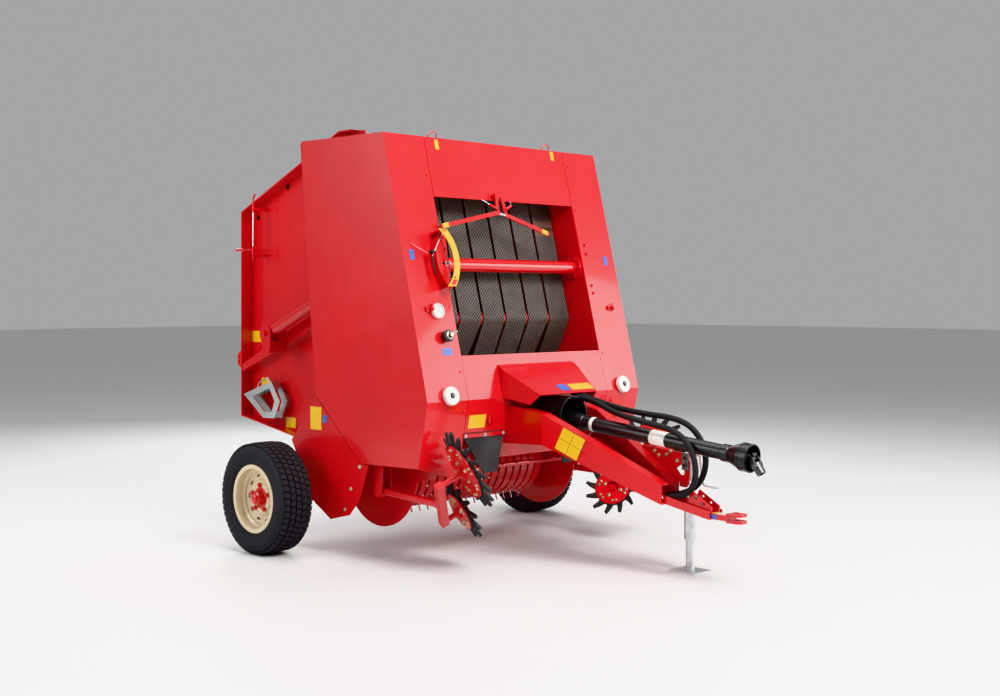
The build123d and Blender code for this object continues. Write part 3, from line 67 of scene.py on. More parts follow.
class Side(Enum):
    """The machine's two sides, with the sign of their Y."""

    RIGHT = -1
    LEFT = 1

    @property
    def tag(self) -> str:
        """The side's name as the nodes spell it."""
        return self.name.lower()

    @property
    def out(self) -> Vector:
        """The direction that leaves the machine on this side."""
        return Vector((0, self.value, 0))


def at(x: float, y: float, z: float) -> Vector:
    """A point measured from the ground under the axle."""
    return Vector((AXLE_X + x, y, z))


def seat(origin: Vector, right: Vector, up: Vector) -> Matrix:
    """A small frame to build on: first axis right, second up, third outwards.

    Args:
        origin: where the frame lies.
        right: direction of its first axis.
        up: direction close to its second axis.

    Returns:
        The frame as a matrix.
    """
    first = right.normalized()
    out = first.cross(up).normalized()
    second = out.cross(first)
    turn = Matrix((first, second, out)).transposed().to_4x4()
    return Matrix.Translation(origin) @ turn


def moved(x: float, y: float, z: float) -> Matrix:
    """A shift along a frame's own axes."""
    return Matrix.Translation((x, y, z))


def around(count: int, start: float = 0.0) -> list[Matrix]:
    """Even turns round a frame's third axis, the first by a share of one step."""
    return [Matrix.Rotation(FULL_TURN * (index + start) / count, 4, "Z") for index in range(count)]


def axle_seat(origin: Vector, out: Vector) -> Matrix:
    """A frame whose third axis points along a given direction.

    Args:
        origin: where the frame lies.
        out: direction of its third axis.

    Returns:
        The frame, with its other axes square to the height where that can be.
    """
    steep = 0.9
    guide = UP if abs(out.normalized().z) < steep else FORWARD
    first = guide.cross(out).normalized()
    return seat(origin, first, out.normalized().cross(first))


def flank(x: float, y: float, z: float) -> Matrix:
    """A frame on an upright face along the machine that looks to the right side."""
    return seat(at(x, y, z), FORWARD, UP)


@dataclass(frozen=True)
class ShaftLine:
    """The line of the drive shaft, from the rear end of its guard tube."""

    rear: Pair = (1.574, 0.822)
    fall: float = 0.0981

    def point(self, x: float) -> Vector:
        """The point of the line at a place along the machine."""
        return at(x, 0, self.rear[1] - self.fall * (x - self.rear[0]))

    def seat(self, x: float) -> Matrix:
        """A frame on the line that looks forward along it."""
        ahead = (self.point(2.0) - self.point(1.0)).normalized()
        return axle_seat(self.point(x), ahead)


SHAFT = ShaftLine()


@dataclass(frozen=True)
class FrontFace:
    """The folded front sheet: its top edge, kink and foot as (x, z)."""

    top: Pair = (0.816, 2.524)
    kink: Pair = (1.208, 0.968)
    foot: Pair = (1.131, 0.588)

    def spot(self, y: float, z: float, lift: float = 0.0005) -> Matrix:
        """A frame on the sheet's outer face.

        Args:
            y: place across the machine.
            z: height.
            lift: distance off the sheet.

        Returns:
            The frame, with its second axis up the slope.
        """
        upper, lower = (self.top, self.kink) if z > self.kink[1] else (self.kink, self.foot)
        up = Vector((upper[0] - lower[0], 0, upper[1] - lower[1])).normalized()
        x = lower[0] + (upper[0] - lower[0]) * (z - lower[1]) / (upper[1] - lower[1])
        out = LEFT.cross(up)
        return seat(at(x, y, z) + out * lift, LEFT, up)

    def point(self, y: float, z: float, lift: float) -> Vector:
        """A point above the sheet."""
        return self.spot(y, z, lift).translation


FRONT = FrontFace()


# Finishes

class Graph:
    """The nodes of one material."""

    def __init__(self, name: str) -> None:
        """Starts a material with a shader and an output.

        Args:
            name: the material's name.
        """
        self.material = bpy.data.materials.new(name)
        self.material.use_nodes = True
        self.nodes = self.material.node_tree.nodes
        self.links = self.material.node_tree.links
        self.shader = self.nodes["Principled BSDF"]

    def node(self, kind: str, **sockets: object) -> bpy.types.Node:
        """Adds a node.

        Args:
            kind: the node's type without its prefix.
            sockets: input values or links by name, with spaces as underscores.

        Returns:
            The new node.
        """
        made = self.nodes.new("ShaderNode" + kind)
        for name, value in sockets.items():
            self.feed(made.inputs[name.replace("_", " ")], value)
        return made

    def feed(self, socket: bpy.types.NodeSocket, value: object) -> None:
        """Links an output to a socket, or sets its value.

        Args:
            socket: the input to fill.
            value: an output of another node, or a plain value.
        """
        if isinstance(value, bpy.types.NodeSocket):
            self.links.new(value, socket)
        else:
            socket.default_value = value

    def math(self, operation: str, *values: object) -> bpy.types.NodeSocket:
        """Adds a math node.

        Args:
            operation: name of the operation.
            values: its inputs in order.

        Returns:
            The node's output.
        """
        made = self.nodes.new("ShaderNodeMath")
        made.operation = operation
        for socket, value in zip(made.inputs, values):
            self.feed(socket, value)
        return made.outputs[0]

    def ramp(self, value: bpy.types.NodeSocket, *stops: tuple[float, Triple]) -> bpy.types.NodeSocket:
        """Turns a value into a colour.

        Args:
            value: output that holds the value.
            stops: stops of the ramp as (place, colour).

        Returns:
            The colour's output.
        """
        made = self.node("ValToRGB", Fac=value)
        elements = made.color_ramp.elements
        while len(elements) < len(stops):
            elements.new(0.5)
        for element, (place, colour) in zip(elements, stops):
            element.position = place
            element.color = (*colour, 1)
        return made.outputs["Color"]

    def noise(self, scale: float, detail: float = 3.0) -> bpy.types.NodeSocket:
        """Noise over the object's own coordinates."""
        place = self.node("TexCoord").outputs["Object"]
        return self.node("TexNoise", Vector=place, Scale=scale, Detail=detail).outputs["Fac"]

    def bump(self, height: bpy.types.NodeSocket, strength: float, distance: float) -> None:
        """Puts a height on the shader as bump."""
        made = self.node("Bump", Height=height, Strength=strength, Distance=distance)
        self.feed(self.shader.inputs["Normal"], made.outputs["Normal"])

    def surface(self, **values: object) -> None:
        """Sets or links inputs of the shader by name."""
        for name, value in values.items():
            self.feed(self.shader.inputs[name.replace("_", " ")], value)


def shade(colour: Triple, factor: float) -> Triple:
    """A colour made darker or lighter."""
    return tuple(min(1.0, channel * factor) for channel in colour)


@dataclass(frozen=True)
class Finish:
    """A plain finish with drifting colour and a fine grain."""

    name: str
    colour: Triple
    roughness: float = 0.5
    metallic: float = 0.0
    coat: float = 0.0
    drift: float = 0.08
    drift_scale: float = 3.0
    drift_detail: float = 3.0
    grain: float = 300.0
    bump: float = 0.1
    depth: float = 0.0004
    coat_roughness: float = 0.06

    def material(self) -> bpy.types.Material:
        """Makes the material of this finish, once.

        Returns:
            The material.
        """
        known = bpy.data.materials.get(self.name)
        if known:
            return known
        graph = Graph(self.name)
        graph.surface(Roughness=self.roughness, Metallic=self.metallic, Coat_Weight=self.coat,
                      Coat_Roughness=self.coat_roughness)
        self.dress(graph)
        return graph.material

    def dress(self, graph: Graph) -> None:
        """Colour and grain of the surface.

        Args:
            graph: the material's nodes.
        """
        self.mottle(graph)
        graph.bump(graph.noise(self.grain), self.bump, self.depth)

    def mottle(self, graph: Graph) -> None:
        """Slow drift of the colour over the surface.

        Args:
            graph: the material's nodes.
        """
        low, high = shade(self.colour, 1 - self.drift), shade(self.colour, 1 + self.drift)
        cloud = graph.noise(self.drift_scale, self.drift_detail)
        graph.surface(Base_Color=graph.ramp(cloud, (0.3, low), (0.7, high)))


@dataclass(frozen=True)
class Paint(Finish):
    """Glossy sprayed paint with faint orange peel."""

    coat: float = 0.5
    roughness: float = 0.34
    drift_scale: float = 1.3
    drift_detail: float = 2.0
    wave: float = 9.0
    wave_depth: float = 0.14
    grain: float = 190.0
    bump: float = 0.12
    depth: float = 0.0005

    def dress(self, graph: Graph) -> None:
        """Colour with slow drift, and long soft waves in the gloss.

        Args:
            graph: the material's nodes.
        """
        self.mottle(graph)
        least = self.roughness - self.wave_depth / 2
        graph.surface(Roughness=graph.math("MULTIPLY_ADD", graph.noise(self.wave), self.wave_depth, least))
        graph.bump(graph.noise(self.grain, 1.0), self.bump, self.depth)


@dataclass(frozen=True)
class Weave(Finish):
    """Belt with a raised slanting weave, laid out along the belt's own length."""

    pitch: float = 0.0230
    # Colour of the raised ribs: a painted highlight on the weave
    light: Triple = (0.140, 0.117, 0.103)
    weak_rib: float = 0.36
    strong_rib: float = 0.46
    bump: float = 0.8
    depth: float = 0.0020

    def dress(self, graph: Graph) -> None:
        """Slanting ribs with weaker ones across, painted lighter on the raised ribs as a painted highlight
        and darker in the hollows as painted shade, with random patches from noise.

        Args:
            graph: the material's nodes.
        """
        place = graph.node("SeparateXYZ", Vector=graph.node("TexCoord").outputs["UV"]).outputs
        turn = FULL_TURN / self.pitch
        one = graph.math("SINE", graph.math("MULTIPLY", graph.math("ADD", place["X"], place["Y"]), turn))
        two = graph.math("SINE", graph.math("MULTIPLY", graph.math("SUBTRACT", place["X"], place["Y"]), turn))
        strong = graph.math("MULTIPLY", two, self.strong_rib)
        rib = graph.math("MULTIPLY_ADD", one, self.weak_rib, strong)
        raised = graph.math("MULTIPLY_ADD", rib, 0.75, 0.25)
        # Painted highlight on the raised ribs and painted shade in the hollows, with random wear patches from
        # noise
        wear_and_rib_highlight = graph.math("MULTIPLY_ADD", graph.noise(14.0, 5.0), 0.5, raised)
        graph.surface(Base_Color=graph.ramp(wear_and_rib_highlight, (0.2, self.colour), (0.85, self.light)))
        graph.bump(rib, self.bump, self.depth)


@dataclass(frozen=True)
class Brushed(Finish):
    """Bare or plated metal with fine scratches."""

    metallic: float = 1.0
    roughness: float = 0.32
    drift_scale: float = 24.0
    grain: float = 420.0
    stretch: float = 0.06
    bump: float = 0.08
    depth: float = 0.0003

    def dress(self, graph: Graph) -> None:
        """Streaks in the roughness along the height.

        Args:
            graph: the material's nodes.
        """
        place = graph.node("TexCoord").outputs["Object"]
        drawn = graph.node("Mapping", Vector=place, Scale=(1.0, 1.0, self.stretch)).outputs["Vector"]
        streak = graph.node("TexNoise", Vector=drawn, Scale=self.grain, Detail=4.0).outputs["Fac"]
        low, high = shade(self.colour, 0.85), shade(self.colour, 1.1)
        graph.surface(Base_Color=graph.ramp(graph.noise(self.drift_scale), (0.3, low), (0.7, high)))
        graph.surface(Roughness=graph.math("MULTIPLY_ADD", streak, 0.3, self.roughness - 0.12))
        graph.bump(streak, self.bump, self.depth)


@dataclass(frozen=True)
class Sleeve(Finish):
    """Woven sleeve round a hose."""

    grain: float = 260.0
    bump: float = 0.6
    depth: float = 0.0012

    def dress(self, graph: Graph) -> None:
        """Small cells that catch the light.

        Args:
            graph: the material's nodes.
        """
        place = graph.node("TexCoord").outputs["Object"]
        cell = graph.node("TexVoronoi", Vector=place, Scale=self.grain).outputs["Distance"]
        graph.surface(Base_Color=graph.ramp(cell, (0.0, shade(self.colour, 2.4)), (0.7, self.colour)))
        graph.bump(cell, self.bump, self.depth)


RED = Paint("red_gloss", (0.560, 0.0085, 0.012))
DEEP_RED = Paint("red_roller_paint", (0.36, 0.006, 0.008), roughness=0.42, coat=0.2)
TUBE_RED = Paint("red_tube_gloss", (0.560, 0.0085, 0.012), roughness=0.16, coat=0.8)
CREAM = Paint("cream_enamel", (0.62, 0.52, 0.35), roughness=0.32, coat=0.3)
BELT = Weave("woven_belt", (0.021, 0.018, 0.016), roughness=0.70)
BELT_LACE = Finish("belt_lacing", (0.150, 0.078, 0.060), roughness=0.6, drift=0.2, grain=140.0, bump=0.4)
TYRE = Finish("tyre_rubber", (0.034, 0.031, 0.030), roughness=0.78, drift=0.2, grain=420.0, bump=0.25)
FINGER = Finish("finger_rubber", (0.020, 0.019, 0.020), roughness=0.62, drift=0.3, grain=260.0, bump=0.3)
FLAP = Finish("flap_rubber", (0.048, 0.047, 0.048), roughness=0.74, drift=0.35, grain=60.0, bump=0.5)
GUARD = Finish("black_guard_plastic", (0.016, 0.016, 0.017), roughness=0.34, drift=0.1, grain=500.0, bump=0.1)
SLEEVE = Sleeve("hose_sleeve", (0.014, 0.013, 0.013), roughness=0.66)
STEEL = Brushed("bare_steel", (0.42, 0.41, 0.40))
DARK_STEEL = Brushed("oiled_steel", (0.13, 0.13, 0.13), roughness=0.40)
GALVANISED = Finish(
    "galvanised_sheet", (0.46, 0.47, 0.47), roughness=0.42, metallic=0.8, drift=0.22, grain=26.0, bump=0.15,
)
ZINC = Brushed("zinc_plated", (0.66, 0.67, 0.68), roughness=0.38)
YELLOW_ZINC = Brushed("pale_passivated", (0.70, 0.68, 0.52), roughness=0.34)
IRON = Finish("gearbox_iron", (0.06, 0.06, 0.062), roughness=0.6, metallic=0.3, drift=0.25, grain=120.0,
              bump=0.5)
YELLOW = Finish("yellow_plate", (0.80, 0.50, 0.02), roughness=0.38, coat=0.3, drift=0.05)
BLUE = Finish("blue_plate", (0.05, 0.13, 0.45), roughness=0.38, coat=0.3, drift=0.05)
SILVER = Finish("silver_paint", (0.66, 0.67, 0.69), roughness=0.30, metallic=0.35, coat=0.3, drift=0.05)
DIAL = Finish("dial_face", (0.62, 0.62, 0.60), roughness=0.35, coat=0.4, drift=0.03)
WHITE = Finish("white_plastic", (0.86, 0.84, 0.78), roughness=0.30, coat=0.3, drift=0.04)
FLOOR = Finish("pale_floor", (0.72, 0.72, 0.71), roughness=0.55, drift=0.015, grain=40.0, bump=0.02)

SLOT_FINISH = {
    "red_paint": RED, "belt_rubber": BELT, "black_rubber": FINGER, "grey_rubber": FLAP, "tyre_rubber": TYRE,
    "cream_paint": CREAM, "black_plastic": GUARD, "hose_sleeve": SLEEVE, "bright_steel": STEEL,
    "zinc_plate": ZINC, "cast_grey": IRON, "yellow_paint": YELLOW,
}


# Pieces

class Piece:
    """One piece in the making: a mesh with what is added to it."""

    def __init__(self, name: str) -> None:
        """Starts an empty piece."""
        self.name = name
        self.mesh = bmesh.new()

    def loop(self, ring: list[Vector]) -> list[bmesh.types.BMVert]:
        """Adds the corners of a ring."""
        return [self.mesh.verts.new(corner) for corner in ring]

    def bridge(self, one: list, two: list, closed: bool = True) -> None:
        """Joins two rings of corners with faces.

        Args:
            one: corners of the first ring.
            two: corners of the second.
            closed: whether the rings close on themselves.
        """
        count = len(one) if closed else len(one) - 1
        for index in range(count):
            after = (index + 1) % len(one)
            self.mesh.faces.new((one[index], one[after], two[after], two[index]))

    def plate(self, place: Matrix, outline: list[Pair], thickness: float, base: float = 0.0) -> "Piece":
        """Adds a flat plate.

        Args:
            place: frame that the outline is drawn on.
            outline: corners in order.
            thickness: height along the frame's third axis.
            base: where the plate starts on that axis.

        Returns:
            The piece itself.
        """
        low = self.loop([place @ Vector((x, y, base)) for x, y in outline])
        high = self.loop([place @ Vector((x, y, base + thickness)) for x, y in outline])
        self.bridge(low, high)
        self.mesh.faces.new(high)
        self.mesh.faces.new(low[::-1])
        return self

    def block(self, place: Matrix, size: Triple, base: float = 0.0) -> "Piece":
        """Adds a box that is centred on the frame and stands on it.

        Args:
            place: frame of the box.
            size: its lengths along the frame's axes.
            base: where it starts on the third axis.

        Returns:
            The piece itself.
        """
        half_x, half_y = size[0] / 2, size[1] / 2
        outline = [(-half_x, -half_y), (half_x, -half_y), (half_x, half_y), (-half_x, half_y)]
        return self.plate(place, outline, size[2], base)

    def turned(self, place: Matrix, profile: list[Pair], sides: int = 24) -> "Piece":
        """Adds a turned form round the frame's third axis.

        Args:
            place: frame of the form.
            profile: (radius, height) from one end to the other.
            sides: facets round the axis.

        Returns:
            The piece itself.
        """
        rings = []
        turns = [FULL_TURN * step / sides for step in range(sides)]
        for radius, height in profile:
            ring = [Vector((radius * math.cos(a), radius * math.sin(a), height)) for a in turns]
            rings.append(self.loop([place @ corner for corner in ring]))
        for low, high in zip(rings, rings[1:]):
            self.bridge(low, high)
        if profile[0] != profile[-1]:
            self.mesh.faces.new(rings[-1])
            self.mesh.faces.new(rings[0][::-1])
        return self

    def tube(self, points: list[Vector], radius: float, sides: int = 10) -> "Piece":
        """Adds a round bar.

        Args:
            points: the line it follows.
            radius: its radius.
            sides: facets round it.

        Returns:
            The piece itself.
        """
        first = (points[1] - points[0]).normalized()
        normal = axle_seat(points[0], first).col[0].to_3d()
        rings = []
        turns = [FULL_TURN * step / sides for step in range(sides)]
        for index, point in enumerate(points):
            ahead = points[min(index + 1, len(points) - 1)] - points[max(index - 1, 0)]
            ahead.normalize()
            normal = (normal - ahead * normal.dot(ahead)).normalized()
            other = ahead.cross(normal)
            ring = [point + (normal * math.cos(a) + other * math.sin(a)) * radius for a in turns]
            rings.append(self.loop(ring))
        for low, high in zip(rings, rings[1:]):
            self.bridge(low, high)
        self.mesh.faces.new(rings[-1])
        self.mesh.faces.new(rings[0][::-1])
        return self

    def bolt(self, place: Matrix, across: float = 0.019, washer: bool = True) -> "Piece":
        """Adds a hexagon head on a washer.

        Args:
            place: frame whose third axis is the bolt's.
            across: width of the head from flat to flat.
            washer: whether a washer lies under it.

        Returns:
            The piece itself.
        """
        washer_radius, washer_top, head_base = across * 0.85, 0.0022, 0.002
        if washer:
            self.turned(place, [(washer_radius, 0.0), (washer_radius, washer_top)], 16)
        head = across / math.sqrt(3)
        profile = [
            (head, head_base), (head, head_base + across * 0.5), (head * 0.86, head_base + across * 0.58),
        ]
        return self.turned(place, profile, 6)

    def flat_bar(
        self, place: Matrix, ends: tuple[Pair, Pair], width: float, thickness: float, base: float,
    ) -> "Piece":
        """Adds a flat bar between two spots of a frame.

        Args:
            place: frame that the bar lies on.
            ends: its two ends on the frame.
            width: its width along the frame.
            thickness: its thickness along the third axis.
            base: where it starts on that axis.

        Returns:
            The piece itself.
        """
        (x0, y0), (x1, y1) = ends
        along = Vector((x1 - x0, y1 - y0)).normalized() * width / 2
        x, y = -along.y, along.x
        corners = [(x0 + x, y0 + y), (x0 - x, y0 - y), (x1 - x, y1 - y), (x1 + x, y1 + y)]
        return self.plate(place, corners, thickness, base)

    def done(self, body: str, slot: str, finish: Finish, bevel: float = 0.0,
             angle: float = 35.0) -> bpy.types.Object:
        """Closes the piece and puts it on its body.

        Args:
            body: body that it rides on.
            slot: material slot of the record; not used.
            finish: its finish.
            bevel: width of softened edges, or none.
            angle: edges sharper than this stay sharp, in degrees.

        Returns:
            The finished object.
        """
        bmesh.ops.recalc_face_normals(self.mesh, faces=self.mesh.faces)
        data = bpy.data.meshes.new(self.name)
        self.mesh.to_mesh(data)
        self.mesh.free()
        data.shade_smooth()
        data.set_sharp_from_angle(angle=math.radians(angle))
        data.materials.append(finish.material())
        made = bpy.data.objects.new(self.name, data)
        bpy.context.scene.collection.objects.link(made)
        if bevel:
            soften(made, bevel)
        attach(made, body)
        LOG.info("%s: %d corners on %s", self.name, len(data.vertices), body)
        return made


def soften(piece: bpy.types.Object, width: float, least_angle: float = 40.0) -> None:
    """Rounds the sharp edges of a piece.

    Args:
        piece: the piece to dress.
        width: width of the rounding.
        least_angle: edges flatter than this stay as they are, in degrees.
    """
    bevel = piece.modifiers.new("soft edges", "BEVEL")
    bevel.width = width
    bevel.segments = 2
    bevel.limit_method = "ANGLE"
    bevel.angle_limit = math.radians(least_angle)
    bevel.harden_normals = True


def arc(centre: Pair, radius: float, start: float, end: float, steps: int) -> list[Pair]:
    """Points along an arc.

    Args:
        centre: its centre.
        radius: its radius.
        start: its first angle in degrees.
        end: its last angle in degrees.
        steps: count of its spans.

    Returns:
        The points in order.
    """
    angles = [math.radians(start + (end - start) * step / steps) for step in range(steps + 1)]
    return [(centre[0] + radius * math.cos(a), centre[1] + radius * math.sin(a)) for a in angles]


def collar(inner: float, outer: float, low: float, high: float) -> list[Pair]:
    """Closed profile of a plain ring, as (radius, height)."""
    return [(inner, low), (outer, low), (outer, high), (inner, high), (inner, low)]


def hull(circles: list[Triple], steps: int = 60) -> list[Pair]:
    """Taut line round circles.

    Args:
        circles: (x, z, radius) of each circle.
        steps: points round each of them.

    Returns:
        The line's points, counter-clockwise.
    """
    cloud = sorted({point for x, z, radius in circles for point in arc((x, z), radius, 0, 360, steps)[:-1]})

    def half(points: list[Pair]) -> list[Pair]:
        """Walks one half of the outline.

        Args:
            points: all points in the order of the walk.

        Returns:
            The points that the outline turns at, without the last.
        """
        kept: list[Pair] = []
        for point in points:
            while len(kept) > 1:
                (ax, ay), (bx, by) = kept[-2], kept[-1]
                if (bx - ax) * (point[1] - ay) - (by - ay) * (point[0] - ax) > 0:
                    break
                kept.pop()
            kept.append(point)
        return kept[:-1]

    return half(cloud) + half(cloud[::-1])


@dataclass
class Paintwork:
    """The finishes of the nodes that are shown as they are."""

    edge: float = 0.0015
    plain: tuple[str, ...] = ("pickup_reel", "front_belts", "tailgate_belts", "hose_near", "hose_far")
    special: dict[str, Finish] = field(default_factory=lambda: {
        "frame_rollers": DEEP_RED, "tailgate_rollers": DEEP_RED, "shaft_yoke": DARK_STEEL,
        "wheel_chock": GALVANISED, "window_tube": TUBE_RED,
    })

    def apply(self) -> None:
        """Gives each node the finish of its slot, or its own, and softens the edges of all but the plain
        ones.
        """
        slots = {part["node"]: part["material_slot"] for part in frame["record"]["subparts"]}
        for name, node in frame["nodes"].items():
            node.data.materials.clear()
            finish = self.special.get(name, SLOT_FINISH[slots[name]])
            node.data.materials.append(finish.material())
            if name not in self.plain:
                soften(node, self.edge)
        LOG.info("painted %d nodes", len(frame["nodes"]))


# Sub-assemblies

@dataclass
class Belts:
    """Six belts side by side round a set of rollers."""

    node: str
    body: str
    rollers: tuple[Triple, ...]
    count: int = 6
    width: float = 0.180
    pitch: float = 0.199
    thickness: float = 0.006
    seat: float = 0.0003
    # Belts that wander to one side below the middle roller, and the belt whose joint shows with its height
    leaning: tuple[int, ...] = ()
    laced: tuple[int, float] | None = None
    lean: float = 0.055
    lean_below: float = 1.42
    lean_run: float = 0.4
    lean_before: float = 0.45
    joint: Triple = (0.176, 0.105, 0.0016)
    hook: Triple = (0.0045, 0.026, 0.0018)
    hooks: int = 17
    hook_pitch: float = 0.0104

    def build(self) -> None:
        """Builds the belts with their weave laid along them."""
        piece = Piece(self.node + "_woven")
        sheet = piece.mesh.loops.layers.uv.new("UVMap")
        inner = hull([(x, z, r + self.seat) for x, z, r in self.rollers])
        outer = hull([(x, z, r + self.seat + self.thickness) for x, z, r in self.rollers])
        for index in range(self.count):
            for line, flip in ((outer, False), (inner, True)):
                self.band(piece, sheet, line, index, flip)
            for edge in (-1, 1):
                self.rim(piece, inner, outer, index, edge)
        bmesh.ops.remove_doubles(piece.mesh, verts=piece.mesh.verts, dist=1e-5)
        made = piece.done(self.body, "belt_rubber", BELT)
        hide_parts(self.node)
        if self.laced:
            self.lacing(outer)

    def middle(self, index: int) -> float:
        """Place of a belt's middle across the machine."""
        return (index - (self.count - 1) / 2) * self.pitch

    def lacing(self, line: list[Pair]) -> None:
        """Builds the joint of one belt, where its ends are laced together.

        Args:
            line: outer line of the belts.
        """
        index, height = self.laced
        spans = [
            span for span in zip(line, line[1:] + line[:1])
            if min(span[0][1], span[1][1]) < height < max(span[0][1], span[1][1])
        ]
        (x0, z0), (x1, z1) = max(spans, key=lambda span: span[0][0] + span[1][0])
        up = Vector((x0 - x1, 0, z0 - z1)) * (1 if z0 > z1 else -1)
        x = x0 + (x1 - x0) * (height - z0) / (z1 - z0)
        place = seat(at(x, self.middle(index), height), LEFT, up)
        patch = Piece("belt_joint").block(place, self.joint, 0.0002)
        patch.done(self.body, "belt_rubber", BELT_LACE)
        hooks = Piece("belt_joint_hooks")
        for step in range(self.hooks):
            across = (step - (self.hooks - 1) / 2) * self.hook_pitch
            hooks.block(place @ moved(across, 0, 0.0014), self.hook)
        hooks.done(self.body, "bright_steel", DARK_STEEL)

    def corner(self, index: int, edge: int, point: Pair) -> Vector:
        """Places one corner of a belt, drawn in where the belt leans below its roller.

        Args:
            index: which belt.
            edge: -1 for its right edge, 1 for its left.
            point: place on the belt's line as (x, z).

        Returns:
            The corner.
        """
        shift = 0.0
        if index in self.leaning and edge > 0 and point[0] > self.lean_before and point[1] < self.lean_below:
            shift = self.lean * min(1.0, (self.lean_below - point[1]) / self.lean_run)
        return at(point[0], self.middle(index) + edge * self.width / 2 - shift, point[1])

    def band(self, piece: Piece, sheet: object, line: list[Pair], index: int, flip: bool) -> None:
        """Adds one face of a belt, with the length along it as its second coordinate.

        Args:
            piece: the piece in the making.
            sheet: its layer of texture coordinates.
            line: the face's line.
            index: which belt.
            flip: whether the face looks inwards.
        """
        run = 0.0
        for here, after in zip(line, line[1:] + line[:1]):
            step = math.dist(here, after)
            corners = [(here, -1, run), (here, 1, run), (after, 1, run + step), (after, -1, run + step)]
            if flip:
                corners.reverse()
            spots = [piece.mesh.verts.new(self.corner(index, edge, point)) for point, edge, _ in corners]
            made = piece.mesh.faces.new(spots)
            for loop, (_, edge, length) in zip(made.loops, corners):
                loop[sheet].uv = (edge * self.width / 2, length)
            run += step

    def rim(self, piece: Piece, inner: list[Pair], outer: list[Pair], index: int, edge: int) -> None:
        """Adds the cut edge of a belt between its two faces.

        Args:
            piece: the piece in the making.
            inner: line of the inner face.
            outer: line of the outer face.
            index: which belt.
            edge: -1 for its right edge, 1 for its left.
        """
        matched = resample(outer, len(inner))
        low = [piece.mesh.verts.new(self.corner(index, edge, point)) for point in inner]
        high = [piece.mesh.verts.new(self.corner(index, edge, point)) for point in matched]
        piece.bridge(low, high)


def resample(line: list[Pair], count: int) -> list[Pair]:
    """Matches a closed line to another line's count, by nearest order.

    Args:
        line: the points.
        count: how many to have.

    Returns:
        The matched points.
    """
    if len(line) == count:
        return line
    return [line[round(index * len(line) / count) % len(line)] for index in range(count)]


@dataclass
class Tyre:
    """Tyre with a block tread, in place of the plain one."""

    side: Side
    radius: float = 0.340
    half_width: float = 0.115
    wheel_y: float = 1.170
    tread_depth: float = 0.009
    rows: int = 5
    blocks: int = 54
    row_stagger: float = 0.33
    tread_margin: float = 0.016
    shoulder_margin: float = 0.03
    shoulder_drop: float = 0.0055
    block_long: float = 0.80
    block_wide: float = 0.86
    block_skew: float = 0.0035
    block_sunk: float = 0.004
    block_height: float = 0.012

    def build(self) -> None:
        """Builds the carcass and the tread blocks."""
        place = axle_seat(at(0, self.side.value * self.wheel_y, self.radius), self.side.out)
        base = self.radius - self.tread_depth
        profile = self.half_profile(base)
        profile += [(radius, -height) for radius, height in reversed(profile[:-1])]
        piece = Piece(f"tyre_{self.side.tag}_treaded").turned(place, profile + [profile[0]], 96)
        self.tread(piece, place, base)
        made = piece.done(f"wheel_{self.side.tag}", "tyre_rubber", TYRE, angle=28)
        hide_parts(f"tyre_{self.side.tag}")

    def half_profile(self, base: float) -> list[Pair]:
        """Draws the section from the bead over the sidewall to the crown's middle.

        Args:
            base: radius of the crown between the blocks.

        Returns:
            The points as (radius, height).
        """
        half = self.half_width
        bead = [(0.190, -0.088), (0.214, -0.098), (0.222, -0.101), (0.226, -0.1055)]
        insets = ((0.250, 0.002), (0.278, 0.0005), (0.282, 0), (0.286, 0.001), (0.306, 0.006), (0.318, 0.014))
        wall = [(radius, inset - half) for radius, inset in insets]
        crown = [(base - 0.006, 0.028 - half), (base - 0.001, -0.055), (base, 0.0)]
        return bead + wall + crown

    def tread(self, piece: Piece, place: Matrix, base: float) -> None:
        """Adds rows of blocks round the crown, each row turned a little against the next.

        Args:
            piece: the piece in the making.
            place: the wheel's frame.
            base: radius of the crown between the blocks.
        """
        width = 2 * (self.half_width - self.tread_margin) / self.rows
        half_wide = width * self.block_wide / 2
        half_long = math.pi * self.radius / self.blocks * self.block_long
        for row in range(self.rows):
            middle = (row - (self.rows - 1) / 2) * width
            drop = self.shoulder_drop * (abs(middle) / (self.half_width - self.shoulder_margin)) ** 3
            root = moved(base - self.block_sunk - drop, 0, middle) @ Matrix.Rotation(math.pi / 2, 4, "Y")
            skew = self.block_skew * (1 if row % 2 else -1)
            outline = [
                (-half_wide, -half_long - skew), (half_wide, -half_long + skew),
                (half_wide, half_long + skew), (-half_wide, half_long - skew),
            ]
            for spin in around(self.blocks, self.row_stagger * row):
                piece.plate(place @ spin @ root, outline, self.block_height)


